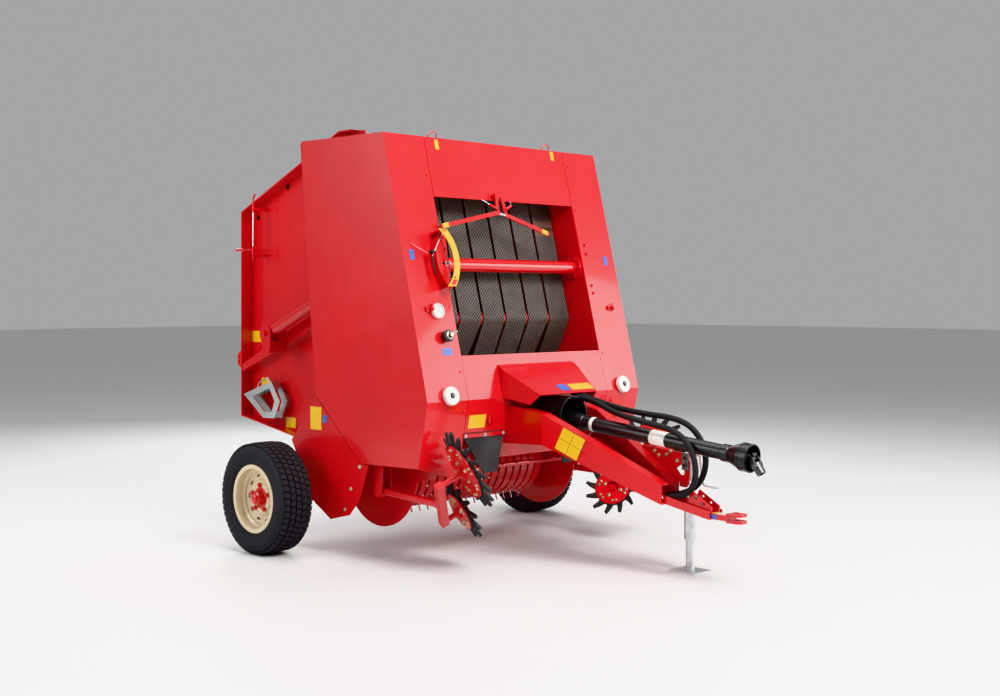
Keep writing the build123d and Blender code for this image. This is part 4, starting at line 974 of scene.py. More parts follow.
@dataclass
class WheelFittings:
    """Nuts, hub cap, seat ring and valve of a wheel."""

    side: Side
    wheel_y: float = 1.170
    axle_z: float = 0.340
    studs: int = 5
    stud_circle: float = 0.080
    face: float = 0.0415
    nut: tuple[Pair, ...] = ((0.0135, 0.0), (0.0135, 0.015), (0.010, 0.019), (0.0, 0.019))
    cap: tuple[Pair, ...] = ((0.030, 0.083), (0.028, 0.092), (0.018, 0.098), (0.0, 0.099))
    seat_ring: tuple[Pair, ...] = (
        (0.056, 0.0395), (0.056, 0.0415), (0.093, 0.0415), (0.110, 0.0180), (0.056, 0.0395),
    )
    valve_at: Triple = (0.118, 0.055, 0.02)
    valve_radius: float = 0.004

    def build(self) -> None:
        """Builds the fittings on the outer face of the hub."""
        body, tag, sign = f"wheel_{self.side.tag}", self.side.tag, self.side.value
        place = axle_seat(at(0, sign * self.wheel_y, self.axle_z), self.side.out)
        nuts = Piece(f"wheel_nuts_{tag}")
        for turn in around(self.studs, 0.25):
            nuts.turned(place @ turn @ moved(self.stud_circle, 0, self.face), self.nut, 16)
        nuts.turned(place, self.cap, 20)
        nuts.done(body, "red_paint", RED)
        Piece(f"wheel_seat_{tag}").turned(place, self.seat_ring, 48).done(body, "cream_paint", CREAM)
        start = place @ Vector(self.valve_at)
        stem = [start, start + Vector((0, sign * 0.02, 0)), start + Vector((0, sign * 0.045, 0.012))]
        Piece(f"wheel_valve_{tag}").tube(stem, self.valve_radius).done(body, "black_rubber", FINGER)


@dataclass
class FingerWheel:
    """Gathering wheel: a bolted disc with rubber fingers round it."""

    side: Side
    level: str
    centre: Triple
    disc: float
    reach: float
    fingers: int
    axle: Triple = (-0.341, 0.813, -0.471)
    disc_half: float = 0.004
    hub: Triple = (0.036, 0.015, 0.028)
    # Lowest and highest level of the rubber ring and of the clamp plate behind it
    rubber: Pair = (-0.0243, -0.0043)
    rubber_inner: float = 0.034
    rubber_outer: float = 0.004
    clamp: Pair = (-0.0285, -0.0248)
    clamp_bore: float = 0.040
    pair_gap: float = 0.016
    pair_inset: float = 0.022
    pair_bolt: float = 0.012
    hub_bolts: int = 4
    hub_circle: float = 0.058
    hub_bolt: float = 0.016
    root_inset: float = 0.006
    # Width of a finger's half at its root, how much of it goes by the tip, and how far the tip hooks
    root_half: float = 0.0210
    taper: float = 0.0135
    hook: float = 0.022
    blunt: float = 0.010
    dish: float = 11.0
    thickness: float = 0.0170
    finger_back: float = -0.0230

    def build(self) -> None:
        """Builds the disc, its bolts and its fingers."""
        body = f"fingers_{self.side.tag}_{self.level}"
        tag = f"{self.side.tag}_{self.level}"
        x, y, z = self.centre
        out = Vector((self.axle[0], self.side.value * self.axle[1], self.axle[2]))
        place = axle_seat(at(x, self.side.value * y, z), out)
        hub_radius, bore, hub_end = self.hub
        profile = [
            (0.0, -self.disc_half), (self.disc, -self.disc_half), (self.disc, self.disc_half),
            (hub_radius, self.disc_half), (hub_radius, hub_end), (bore, hub_end),
        ]
        disc = Piece(f"gather_disc_{tag}").turned(place, profile, 48)
        made = disc.done(body, "red_paint", RED, bevel=0.0012)
        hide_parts(f"gather_wheel_{tag}")
        rubber = Piece(f"gather_fingers_{tag}")
        band = collar(self.disc - self.rubber_inner, self.disc + self.rubber_outer, *self.rubber)
        rubber.turned(place, band, 48)
        for turn in around(self.fingers):
            self.finger(rubber, place @ turn)
        rubber.done(body, "black_rubber", FINGER, bevel=0.0015)
        clamp = Piece(f"gather_clamp_{tag}")
        clamp.turned(place, collar(self.clamp_bore, self.disc, *self.clamp), 48)
        clamp.done(body, "red_paint", RED, bevel=0.0008)
        self.bolts(Piece(f"gather_bolts_{tag}"), place).done(body, "zinc_plate", YELLOW_ZINC)

    def bolts(self, piece: Piece, place: Matrix) -> Piece:
        """Adds the pairs of bolts that hold the rubber, and those of the hub.

        Args:
            piece: the piece in the making.
            place: the wheel's frame.

        Returns:
            The piece itself.
        """
        pairs = self.fingers // 2
        for index in range(pairs):
            for offset in (-self.pair_gap, self.pair_gap):
                angle = FULL_TURN * (index + 0.25) / pairs + offset / self.disc
                turn = Matrix.Rotation(angle, 4, "Z")
                for face in self.faces():
                    piece.bolt(place @ turn @ moved(self.disc - self.pair_inset, 0, 0) @ face, self.pair_bolt)
        for turn in around(self.hub_bolts, 0.2):
            for face in self.faces():
                piece.bolt(place @ turn @ moved(self.hub_circle, 0, 0) @ face, self.hub_bolt)
        return piece

    def faces(self) -> tuple[Matrix, Matrix]:
        """The seats of a bolt's head on the disc and of its nut on the clamp plate."""
        return moved(0, 0, self.disc_half), moved(0, 0, self.clamp[0]) @ Matrix.Rotation(math.pi, 4, "X")

    def finger(self, piece: Piece, place: Matrix) -> None:
        """Adds one rubber finger: a broad blade that curves to a blunt hook.

        Args:
            piece: the piece in the making.
            place: the wheel's frame, turned to the finger.
        """
        root = self.disc - self.root_inset
        long, turn, steps = self.reach - root, self.side.value, 6
        front, back = [], []
        for step in range(steps + 1):
            share = step / steps
            middle = -self.hook * share ** 1.8
            half = self.root_half - self.taper * share ** 1.3
            back.append((root + long * share, -turn * (middle + half)))
            front.append((root + long * share - self.blunt * share, -turn * (middle - half)))
        dish = Matrix.Rotation(math.radians(self.dish), 4, "Y")
        dished = place @ moved(root, 0, 0) @ dish @ moved(-root, 0, 0)
        piece.plate(dished, back + front[::-1], self.thickness, self.finger_back)


@dataclass
class Hose:
    """A free hydraulic hose in a woven sleeve, from its block to the drawbar."""

    node: str
    length: float
    points: tuple[Triple, ...]
    diameter: float = 0.034

    def build(self) -> None:
        """Builds the hose as one smooth line."""
        curve = bpy.data.curves.new(self.node + "_sleeved", "CURVE")
        curve.dimensions = "3D"
        curve.bevel_depth = self.diameter / 2
        curve.bevel_resolution = 5
        curve.use_fill_caps = True
        spline = curve.splines.new("NURBS")
        spline.points.add(len(self.points) - 1)
        for knot, (x, y, z) in zip(spline.points, self.points):
            knot.co = (*at(x, y, z), 1)
        spline.order_u = 3
        spline.use_endpoint_u = True
        spline.resolution_u = 8
        made = bpy.data.objects.new(self.node + "_sleeved", curve)
        bpy.context.scene.collection.objects.link(made)
        curve.materials.append(SLEEVE.material())
        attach(made, "frame")
        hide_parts(self.node)
        at(*self.points[0])
        LOG.info("%s laid", self.node)


HOSE_NEAR = (
    (1.225, 0.085, 1.035), (1.285, 0.085, 1.035), (1.350, 0.088, 1.012), (1.415, 0.092, 0.966),
    (1.482, 0.092, 0.953), (1.562, 0.072, 0.944), (1.645, 0.045, 0.930), (1.722, 0.026, 0.908),
    (1.800, 0.005, 0.892), (1.875, -0.020, 0.882), (1.951, -0.042, 0.874), (2.036, -0.051, 0.862),
    (2.122, -0.052, 0.850), (2.197, -0.053, 0.840), (2.268, -0.054, 0.822), (2.328, -0.057, 0.790),
    (2.376, -0.062, 0.745), (2.408, -0.067, 0.690), (2.422, -0.070, 0.634), (2.420, -0.070, 0.578),
    (2.400, -0.068, 0.530), (2.362, -0.062, 0.492), (2.318, -0.050, 0.475), (2.272, -0.036, 0.465),
    (2.228, -0.032, 0.454), (2.180, -0.031, 0.451),
)
HOSE_FAR = (
    (1.225, 0.135, 1.035), (1.285, 0.135, 1.035), (1.350, 0.134, 1.010), (1.418, 0.131, 0.972),
    (1.486, 0.126, 0.956), (1.570, 0.115, 0.942), (1.660, 0.104, 0.925), (1.750, 0.096, 0.911),
    (1.840, 0.090, 0.901), (1.930, 0.087, 0.894), (2.010, 0.084, 0.889), (2.090, 0.082, 0.886),
    (2.171, 0.080, 0.876), (2.245, 0.080, 0.856), (2.305, 0.079, 0.820), (2.349, 0.078, 0.770),
    (2.374, 0.077, 0.712), (2.383, 0.076, 0.660), (2.378, 0.074, 0.610), (2.362, 0.070, 0.562),
    (2.334, 0.062, 0.521), (2.300, 0.052, 0.493), (2.260, 0.040, 0.474), (2.214, 0.033, 0.461),
    (2.160, 0.032, 0.457),
)


@dataclass
class Plates:
    """Blank plates, dials and fittings on the front of the machine."""

    plate_thickness: float = 0.0012
    # Name, place across, height, (width, height), finish
    plates: tuple[tuple[str, float, float, Pair, Finish], ...] = (
        ("tag_top_right", -0.516, 2.482, (0.030, 0.062), YELLOW),
        ("tag_top_left", 0.506, 2.488, (0.030, 0.062), YELLOW),
        ("plate_column_right", -0.863, 1.808, (0.036, 0.062), BLUE),
        ("plate_column_left", 0.844, 1.804, (0.036, 0.062), BLUE),
        ("plate_under_valve", -0.715, 1.248, (0.070, 0.042), BLUE),
        ("plate_apron", -0.520, 0.838, (0.135, 0.078), YELLOW),
    )
    guide_disc: Pair = (0.761, 0.995)
    # Where the disc's recess starts, for its bolt
    recess: float = 0.026
    guide_profile: tuple[Pair, ...] = (
        (0.050, 0.004), (0.054, 0.008), (0.054, 0.030), (0.050, 0.034), (0.019, 0.034), (0.018, 0.026),
        (0.0, 0.026),
    )
    gauge: Pair = (-0.747, 1.480)
    gauge_case: tuple[Pair, ...] = (
        (0.040, 0.0), (0.044, 0.004), (0.044, 0.024), (0.040, 0.027), (0.036, 0.024), (0.036, 0.020),
    )
    gauge_dial: tuple[Pair, ...] = ((0.036, 0.016), (0.036, 0.0205), (0.0, 0.0205))
    needle: tuple[Pair, ...] = ((-0.006, -0.0012), (0.026, -0.0004), (0.026, 0.0004), (-0.006, 0.0012))
    needle_angle: float = 60.0
    valve: Pair = (-0.716, 1.333)
    valve_body: tuple[Pair, ...] = (
        (0.028, 0.0), (0.028, 0.020), (0.036, 0.024), (0.036, 0.040), (0.030, 0.046), (0.016, 0.046),
        (0.016, 0.060), (0.010, 0.064), (0.0, 0.064),
    )
    valve_ring: tuple[Pair, ...] = ((0.024, 0.046), (0.024, 0.050), (0.019, 0.052), (0.019, 0.0465))
    valve_stem: tuple[Pair, ...] = ((0.012, 0.058), (0.012, 0.067), (0.0, 0.067))
    lever: tuple[Triple, ...] = ((0.0, 0.0, 0.058), (0.022, 0.010, 0.062), (0.050, 0.018, 0.060))
    # Place across and height of each round head, then of the column's bolts
    heads: tuple[Pair, ...] = (
        (-0.640, 2.285), (0.640, 2.430), (0.640, 2.130), (0.640, 1.205), (-0.635, 1.505), (-0.640, 1.130),
        (-0.690, 0.985), (0.690, 1.020), (0.670, 0.900), (-0.640, 0.905),
    )
    head_profile: tuple[Pair, ...] = ((0.007, 0.0), (0.007, 0.003), (0.004, 0.006), (0.0, 0.0062))
    column_y: float = 0.664
    column_bolts: tuple[float, ...] = (1.905, 1.845, 1.640, 1.590)
    latch: Pair = (0.800, 1.492)
    latch_knob: tuple[Pair, ...] = ((0.013, 0.0), (0.013, 0.018), (0.008, 0.024), (0.0, 0.024))
    apron_lock: Pair = (-0.412, 0.842)
    lock_profile: tuple[Pair, ...] = ((0.026, 0.0), (0.026, 0.010), (0.012, 0.014), (0.0, 0.014))
    loops: tuple[float, ...] = (-0.531, 0.466)
    # Thickness, half length and height of a lifting loop, and its wire's radius
    loop_size: Triple = (0.012, 0.035, 0.034)
    loop_wire: float = 0.0035

    def build(self) -> None:
        """Builds everything that is fixed to the front sheet."""
        for name, y, z, size, finish in self.plates:
            plate = Piece(name).block(FRONT.spot(y, z), (*size, self.plate_thickness))
            plate.done("frame", "yellow_paint", finish)
        self.discs()
        self.pressure_gauge()
        self.hand_valve()
        self.fixings()
        self.latches()
        self.lifting_loops()

    def discs(self) -> None:
        """Builds the two white guide discs with their bolts."""
        y, z = self.guide_disc
        for side in Side:
            place = FRONT.spot(side.value * y, z)
            disc = Piece(f"guide_disc_{side.tag}").turned(place, self.guide_profile, 40)
            disc.done("frame", "zinc_plate", WHITE)
            bolt = Piece(f"guide_bolt_{side.tag}").bolt(place @ moved(0, 0, self.recess), 0.026)
            bolt.done("frame", "zinc_plate", DARK_STEEL)

    def pressure_gauge(self) -> None:
        """Builds the gauge on the right column, with its blank dial and its needle."""
        place = FRONT.spot(*self.gauge)
        Piece("gauge_case").turned(place, self.gauge_case, 40).done("frame", "zinc_plate", WHITE)
        Piece("gauge_dial").turned(place, self.gauge_dial, 40).done("frame", "zinc_plate", DIAL)
        rim = Piece("gauge_rim").turned(place, collar(0.0335, 0.0365, 0.0200, 0.0212), 40)
        rim.done("frame", "black_plastic", GUARD)
        turn = Matrix.Rotation(math.radians(self.needle_angle), 4, "Z")
        needle = Piece("gauge_needle").plate(place @ turn, self.needle, 0.001, 0.0206)
        needle.done("frame", "black_plastic", GUARD)

    def hand_valve(self) -> None:
        """Builds the valve under the gauge, with its lever."""
        place = FRONT.spot(*self.valve)
        Piece("valve_body").turned(place, self.valve_body, 28).done("frame", "cast_grey", IRON)
        core = Piece("valve_core").turned(place, self.valve_ring, 24).turned(place, self.valve_stem, 20)
        core.done("frame", "bright_steel", YELLOW_ZINC)
        lever = Piece("valve_lever").tube([place @ Vector(point) for point in self.lever], 0.006)
        lever.done("frame", "bright_steel", STEEL)

    def fixings(self) -> None:
        """Builds the round heads and the bolts of the left column."""
        heads = Piece("front_bolts")
        for y, z in self.heads:
            heads.turned(FRONT.spot(y, z), self.head_profile, 12)
        for z in self.column_bolts:
            heads.bolt(FRONT.spot(self.column_y, z), 0.016)
        heads.done("frame", "red_paint", RED)

    def latches(self) -> None:
        """Builds the latches of both columns and the lock of the apron."""
        latches = Piece("column_latches")
        y, z = self.latch
        for side in Side:
            place = FRONT.spot(side.value * y, z)
            latches.block(place, (0.060, 0.030, 0.012))
            latches.turned(place @ moved(0.004, 0, 0.012), self.latch_knob, 14)
            latches.block(place @ moved(0.020, 0.006, 0.010), (0.016, 0.050, 0.008))
        place = FRONT.spot(*self.apron_lock)
        latches.turned(place, self.lock_profile, 20)
        latches.block(place, (0.008, 0.050, 0.022))
        latches.done("frame", "red_paint", RED, bevel=0.001)

    def lifting_loops(self) -> None:
        """Builds the two loops on the top edge."""
        loops = Piece("top_loops")
        thick, half, height = self.loop_size
        angles = [math.pi * step / 8 for step in range(9)]
        ring = [
            Vector((thick * math.sin(a), half * (1 - math.cos(a)), height * math.sin(a))) for a in angles
        ]
        for y in self.loops:
            start = at(0.800, y - half, 2.528)
            loops.tube([start + point for point in ring], self.loop_wire, 8)
        loops.done("frame", "red_paint", RED)


@dataclass
class WindowFittings:
    """What hangs before the belt window: ends and struts of the arms, pointer, scale and flange bolts."""

    # Height gained per length up the slope of the front sheet
    rise: float = 0.9697
    arm_level: float = 2.0
    # The two spots of each yellow end, as (place across, height)
    arm_ends: tuple[tuple[Pair, Pair], ...] = (
        ((-0.613, 1.974), (-0.563, 1.9844)), ((0.290, 1.960), (0.242, 1.9742)),
    )
    arm_end_size: Triple = (0.0275, 0.0012, 0.0352)
    # Places across where each strut starts and ends, and where its wire ends
    struts: tuple[Triple, ...] = ((-0.130, -0.192, -0.222), (-0.056, -0.004, 0.024))
    strut_levels: Triple = (2.098, 2.122, 2.158)
    strut_lift: float = 0.037
    arm_rod: tuple[Triple, Triple] = ((-0.118, 2.070, 0.031), (-0.066, 2.063, 0.031))
    arm_bolts: tuple[Pair, ...] = ((-0.127, 2.092), (-0.059, 2.086))
    # Pointer: its tip, its elbow and the end of its tail, as (place across, height, lift)
    pointer: tuple[Triple, Triple, Triple] = (
        (-0.640, 1.937, 0.062), (-0.766, 1.783, 0.064), (-0.762, 1.676, 0.064),
    )
    pivot: Triple = (-0.650, 1.745, 0.033)
    pivot_profile: tuple[Pair, ...] = (
        (0.014, 0.0), (0.014, 0.018), (0.009, 0.022), (0.009, 0.050), (0.0, 0.050),
    )
    knobs: tuple[Triple, ...] = ((-0.764, 1.808, 0.055), (-0.674, 1.747, 0.032))
    knob_profile: tuple[Pair, ...] = ((0.013, 0.0), (0.013, 0.020), (0.009, 0.026), (0.0, 0.026))
    cord: tuple[Triple, Triple] = ((-0.856, 1.869, 0.004), (-0.766, 1.796, 0.050))
    web_bolts: tuple[Pair, ...] = ((-0.622, 1.905), (-0.628, 1.835), (-0.642, 1.700), (-0.650, 1.625))
    scale_screws: tuple[float, ...] = (-0.686, -0.652)
    screw_profile: tuple[Pair, ...] = ((0.006, 0.0), (0.006, 0.003), (0.0, 0.004))
    # Scale: its centre as (place across, height), radius and half width
    scale_centre: Pair = (-0.855, 1.768)
    scale_radius: float = 0.242
    scale_half: float = 0.0215
    scale_red: tuple[Pair, ...] = ((1.6085, 1.640), (1.922, 1.9295))
    scale_face: Pair = (0.0010, 0.1043)
    flange: Triple = (0.920, 0.596, 1.757)
    flange_circle: float = 0.060

    def build(self) -> None:
        """Builds the fittings of the arms and of the size indicator."""
        self.arms()
        self.struts_and_rod()
        self.indicator()
        self.fasteners()
        self.scale_ends()
        self.tube_flange()

    def arms(self) -> None:
        """Builds the yellow ends of the arms."""
        place = FRONT.spot(0, self.arm_level, 0.0)
        ends = Piece("arm_ends")
        for pair in self.arm_ends:
            bar = tuple((y, (z - self.arm_level) / self.rise) for y, z in pair)
            ends.flat_bar(place, bar, *self.arm_end_size)
        ends.done("frame", "yellow_paint", YELLOW)

    def struts_and_rod(self) -> None:
        """Builds the struts above the arms, their wires, the rod between the arms and its bolts."""
        struts, wires = Piece("arm_struts"), Piece("arm_wires")
        low, middle, high = self.strut_levels
        for start, elbow, end in self.struts:
            joint = FRONT.point(elbow, middle, self.strut_lift)
            struts.tube([FRONT.point(start, low, self.strut_lift), joint], 0.008)
            wires.tube([joint, FRONT.point(end, high, 0.010)], 0.0025, 8)
        struts.done("frame", "red_paint", RED)
        wires.tube([FRONT.point(*end) for end in self.arm_rod], 0.009)
        wires.done("frame", "zinc_plate", ZINC)
        bolts = Piece("arm_bolts")
        for y, z in self.arm_bolts:
            bolts.bolt(FRONT.spot(y, z, 0.035), 0.011)
        bolts.done("frame", "red_paint", RED)

    def indicator(self) -> None:
        """Builds the pointer's wire, its tail and its knobs."""
        tip, elbow, tail_end = [FRONT.point(*spot) for spot in self.pointer]
        wire = Piece("indicator_wire").tube([tip, elbow], 0.0035, 8)
        wire.turned(FRONT.spot(*self.pivot), self.pivot_profile, 16)
        wire.done("frame", "zinc_plate", ZINC)
        tail = Piece("indicator_tail").tube([elbow, tail_end], 0.0055)
        for knob in self.knobs:
            tail.turned(FRONT.spot(*knob), self.knob_profile, 18)
        tail.done("frame", "black_plastic", GUARD)

    def fasteners(self) -> None:
        """Builds the pull cord, the bolts of the indicator's web and the screws of its scale."""
        cord = Piece("indicator_cord").tube([FRONT.point(*end) for end in self.cord], 0.003, 8)
        for y, z in self.web_bolts:
            cord.bolt(FRONT.spot(y, z, 0.0303), 0.013)
        cord.done("frame", "red_paint", RED)
        screws = Piece("scale_screws")
        for y in self.scale_screws:
            screws.turned(FRONT.spot(y, 1.652, 0.104), self.screw_profile, 12)
        screws.done("frame", "black_plastic", GUARD)

    def scale_ends(self) -> None:
        """Builds the red ends of the scale."""
        ends = Piece("scale_ends")
        centre_y, centre_z = self.scale_centre
        share = self.scale_half / self.scale_radius
        steps = 4
        for low, high in self.scale_red:
            heights = [low + (high - low) * step / steps for step in range(steps + 1)]
            levels = [(height - centre_z) / self.rise for height in heights]
            reaches = [math.sqrt(self.scale_radius ** 2 - level ** 2) for level in levels]
            front = [(centre_y + reach * (1 + share), level) for reach, level in zip(reaches, levels)]
            back = [(centre_y + reach * (1 - share), level) for reach, level in zip(reaches, levels)]
            ends.plate(FRONT.spot(0, centre_z, 0.0), front + back[::-1], *self.scale_face)
        ends.done("frame", "red_paint", RED)

    def tube_flange(self) -> None:
        """Builds the bolts of the flange at the left end of the window's tube."""
        place = axle_seat(at(*self.flange), -LEFT)
        bolts = Piece("tube_bolts")
        for turn in around(6):
            bolts.bolt(place @ turn @ moved(self.flange_circle, 0, 0), 0.014)
        bolts.done("frame", "red_paint", RED)


@dataclass
class Driveline:
    """Details of the shroud, the guard tube and its bell."""

    ribs: int = 22
    # Place along the machine and radius of the cone's wide and narrow end
    cone: tuple[Pair, Pair] = ((1.330, 0.0765), (1.520, 0.0475))
    rib_radius: float = 0.0042
    # Place along the machine, radius, height and half width of each raised ring
    rings: tuple[tuple[float, float, float, float], ...] = (
        (1.548, 0.042, 0.006, 0.020), (2.578, 0.042, 0.006, 0.030),
        (2.686, 0.075, 0.003, 0.006), (2.733, 0.075, 0.003, 0.007),
    )
    bell: Pair = (2.708, 0.0755)
    bell_ribs: int = 8
    bell_rib: Triple = (0.004, 0.004, 0.030)
    lip_at: Triple = (1.466, 0, 0.855)
    # Place along the machine and half length of each label, and the two radii of a label
    labels: tuple[Pair, ...] = ((2.124, 0.054), (1.636, 0.013))
    label_radii: Pair = (0.0422, 0.0428)
    chain_ends: tuple[Triple, Triple] = ((1.462, 0.060, 0.752), (1.610, 0.022, 0.783))
    chain_links: int = 13
    chain_sag: float = 0.035
    link: Triple = (0.0045, 0.0095, 0.0014)

    def build(self) -> None:
        """Builds the rings, ribs, labels and the chain."""
        self.guard()
        lip = Piece("shroud_lip")
        lip.turned(axle_seat(at(*self.lip_at), FORWARD), collar(0.1152, 0.1215, -0.004, 0.009), 48)
        lip.done("frame", "black_plastic", GUARD)
        label = Piece("shaft_label")
        inner, outer = self.label_radii
        for x, half in self.labels:
            edge = half - 0.001
            profile = [(inner, -half), (outer, -edge), (outer, edge), (inner, half), (inner, -half)]
            label.turned(SHAFT.seat(x), profile, 48)
        label.done("frame", "zinc_plate", WHITE)
        self.chain()

    def guard(self) -> None:
        """Builds the ribs and rings of the guard tube and its bell."""
        rings = Piece("guard_rings")
        (wide_x, wide), (narrow_x, narrow) = self.cone
        for turn in around(self.ribs):
            start = SHAFT.seat(wide_x) @ turn @ Vector((wide, 0, 0))
            end = SHAFT.seat(narrow_x) @ turn @ Vector((narrow, 0, 0))
            rings.tube([start, end], self.rib_radius, 6)
        for x, radius, height, half in self.rings:
            foot, crest, flat = radius - 0.001, radius + height, half * 0.7
            profile = [(foot, -half), (crest, -flat), (crest, flat), (foot, half), (foot, -half)]
            rings.turned(SHAFT.seat(x), profile, 40)
        bell_x, bell_radius = self.bell
        for turn in around(self.bell_ribs):
            place = SHAFT.seat(bell_x) @ turn @ moved(bell_radius, 0, 0)
            rings.block(place, self.bell_rib, -self.bell_rib[2] / 2)
        rings.done("frame", "black_plastic", GUARD)

    def chain(self) -> None:
        """Builds the chain that keeps the guard from turning."""
        chain = Piece("guard_chain")
        start, end = [at(*spot) for spot in self.chain_ends]
        wide, long, wire = self.link
        angles = [math.pi * step / 4 for step in range(9)]
        for index in range(self.chain_links):
            share = index / (self.chain_links - 1)
            middle = start.lerp(end, share) - UP * self.chain_sag * math.sin(math.pi * share)
            roll = Matrix.Rotation(math.pi / 2 * (index % 2), 4, "Z")
            place = axle_seat(middle, end - start) @ roll
            oval = [place @ Vector((wide * math.cos(a), 0, long * math.sin(a))) for a in angles]
            chain.tube(oval, wire, 6)
        chain.done("frame", "zinc_plate", ZINC)


@dataclass
class DrawbarFittings:
    """Signs, bolts and small parts on the drawbar, the jack plate and the hitch."""

    sign_at: Triple = (1.652, -0.2317, 0.7195)
    sign_along: Triple = (0.872, 0.240, -0.423)
    sign_up: Triple = (0.409, 0.112, 0.906)
    sign_back: Triple = (0.158, 0.139, 0.0008)
    sign_field: Triple = (0.0755, 0.0660, 0.0008)
    sign_step: Pair = (0.0390, 0.0342)
    # Beam's inner face: place across at its fold, its fall per length forward and where the fold is
    beam_face: Triple = (0.280, 0.275, 1.475)
    beam_inward: Triple = (-0.2651, -0.9641, 0)
    # Place along the machine and height of each bolt
    jack_bolts: tuple[Pair, ...] = (
        (1.972, 0.676), (2.012, 0.656), (2.083, 0.666), (2.118, 0.690), (2.178, 0.642), (2.236, 0.672),
    )
    tongue_bolts: tuple[Pair, ...] = ((2.398, 0.470), (2.450, 0.441))
    tongue_face: float = -0.040
    clip_at: Triple = (2.262, 0.048, 0.648)
    clip_size: Triple = (0.042, 0.095, 0.006)
    clip_bolts: tuple[float, ...] = (0.626, 0.668)
    clip_bolt: tuple[Pair, ...] = ((0.013, 0.0), (0.013, 0.005), (0.007, 0.005), (0.007, 0.0))
    pin_at: Triple = (2.224, 0.083, 0.566)
    pin_ring: Pair = (0.014, 0.0022)
    crank_elbow: Triple = (2.260, 0.222, 0.500)
    crank_end: Triple = (2.340, 0.250, 0.489)
    crank_top: Triple = (2.238, 0.220, 0.664)
    label_thickness: float = 0.0008
    hood_slope: Triple = (-0.2776, 0, 0.171)
    hood_plate_at: Pair = (1.387, 1.0209)
    # Name, place across, (width, height), finish
    hood_plates: tuple[tuple[str, float, Pair, Finish], ...] = (
        ("hood_plate_blue", 0.002, (0.080, 0.062), BLUE),
        ("hood_plate_yellow", 0.158, (0.196, 0.060), YELLOW),
    )

    def build(self) -> None:
        """Builds the fittings."""
        self.sign()
        self.jack_plate()
        self.clip_and_pin()
        self.crank()
        self.hitch()
        self.hood()

    def sign(self) -> None:
        """Builds the four blank fields on the right beam."""
        place = seat(at(*self.sign_at), Vector(self.sign_along), Vector(self.sign_up))
        Piece("beam_sign_back").block(place, self.sign_back, 0.0010).done("frame", "black_plastic", GUARD)
        fields = Piece("beam_sign_fields")
        step_x, step_z = self.sign_step
        for x in (-step_x, step_x):
            for z in (-step_z, step_z):
                fields.block(place @ moved(x, z, 0), self.sign_field, 0.0016)
        fields.done("frame", "yellow_paint", YELLOW)

    def jack_plate(self) -> None:
        """Builds the bolts of the plate beside the jack and of the tongue."""
        bolts = Piece("jack_plate_bolts")
        face_y, fall, fold = self.beam_face
        for x, z in self.jack_bolts:
            y = face_y - fall * (x - fold) - 0.0004
            bolts.bolt(axle_seat(at(x, y, z), Vector(self.beam_inward)), 0.017)
        bolts.done("frame", "zinc_plate", YELLOW_ZINC)
        dark = Piece("tongue_bolts")
        for x, z in self.tongue_bolts:
            dark.bolt(axle_seat(at(x, self.tongue_face, z), -LEFT), 0.013, False)
        dark.done("frame", "cast_grey", DARK_STEEL)

    def clip_and_pin(self) -> None:
        """Builds the hose clip before the jack plate and the ring of the jack's pin."""
        x, y, _ = self.clip_at
        clip = Piece("hose_clip").block(seat(at(*self.clip_at), FORWARD, UP), self.clip_size)
        for z in self.clip_bolts:
            clip.turned(axle_seat(at(x, y - self.clip_size[2], z), -LEFT), self.clip_bolt, 16)
        clip.done("frame", "cast_grey", DARK_STEEL)
        radius, wire = self.pin_ring
        angles = [math.pi * step / 8 for step in range(17)]
        ring = [at(*self.pin_at) + Vector((radius * math.cos(a), 0, radius * math.sin(a))) for a in angles]
        Piece("jack_pin").tube(ring, wire, 8).done("frame", "zinc_plate", ZINC)

    def crank(self) -> None:
        """Builds the bright sleeves on the handle of the jack's crank."""
        sleeve = Piece("crank_sleeves")
        elbow, end, top = at(*self.crank_elbow), at(*self.crank_end), at(*self.crank_top)
        sleeve.tube([elbow.lerp(end, 0.04), elbow.lerp(end, 1.0)], 0.0110, 16)
        sleeve.tube([elbow.lerp(top, 0.06), elbow.lerp(top, 0.90)], 0.0105, 16)
        sleeve.done("frame", "zinc_plate", SILVER)

    def hitch(self) -> None:
        """Builds the blank labels on the hitch bar."""
        front, rear = [seat(at(x, 0, 0.3952), FORWARD, LEFT) for x in (2.560, 2.507)]
        upright = flank(2.520, -0.0432, 0.380)
        # Name, frame, (width, height), slot, finish
        for name, place, size, slot, finish in (
            ("hitch_label_white", front, (0.070, 0.070), "zinc_plate", WHITE),
            ("hitch_label_yellow", rear, (0.026, 0.070), "yellow_paint", YELLOW),
            ("hitch_label_blue", upright, (0.042, 0.024), "zinc_plate", BLUE),
        ):
            Piece(name).block(place, (*size, self.label_thickness)).done("frame", slot, finish)

    def hood(self) -> None:
        """Builds the two blank plates on the hood."""
        x, z = self.hood_plate_at
        for name, y, size, finish in self.hood_plates:
            place = seat(at(x, y, z), LEFT, Vector(self.hood_slope))
            Piece(name).block(place, (*size, 0.0010), 0.0006).done("frame", "yellow_paint", finish)


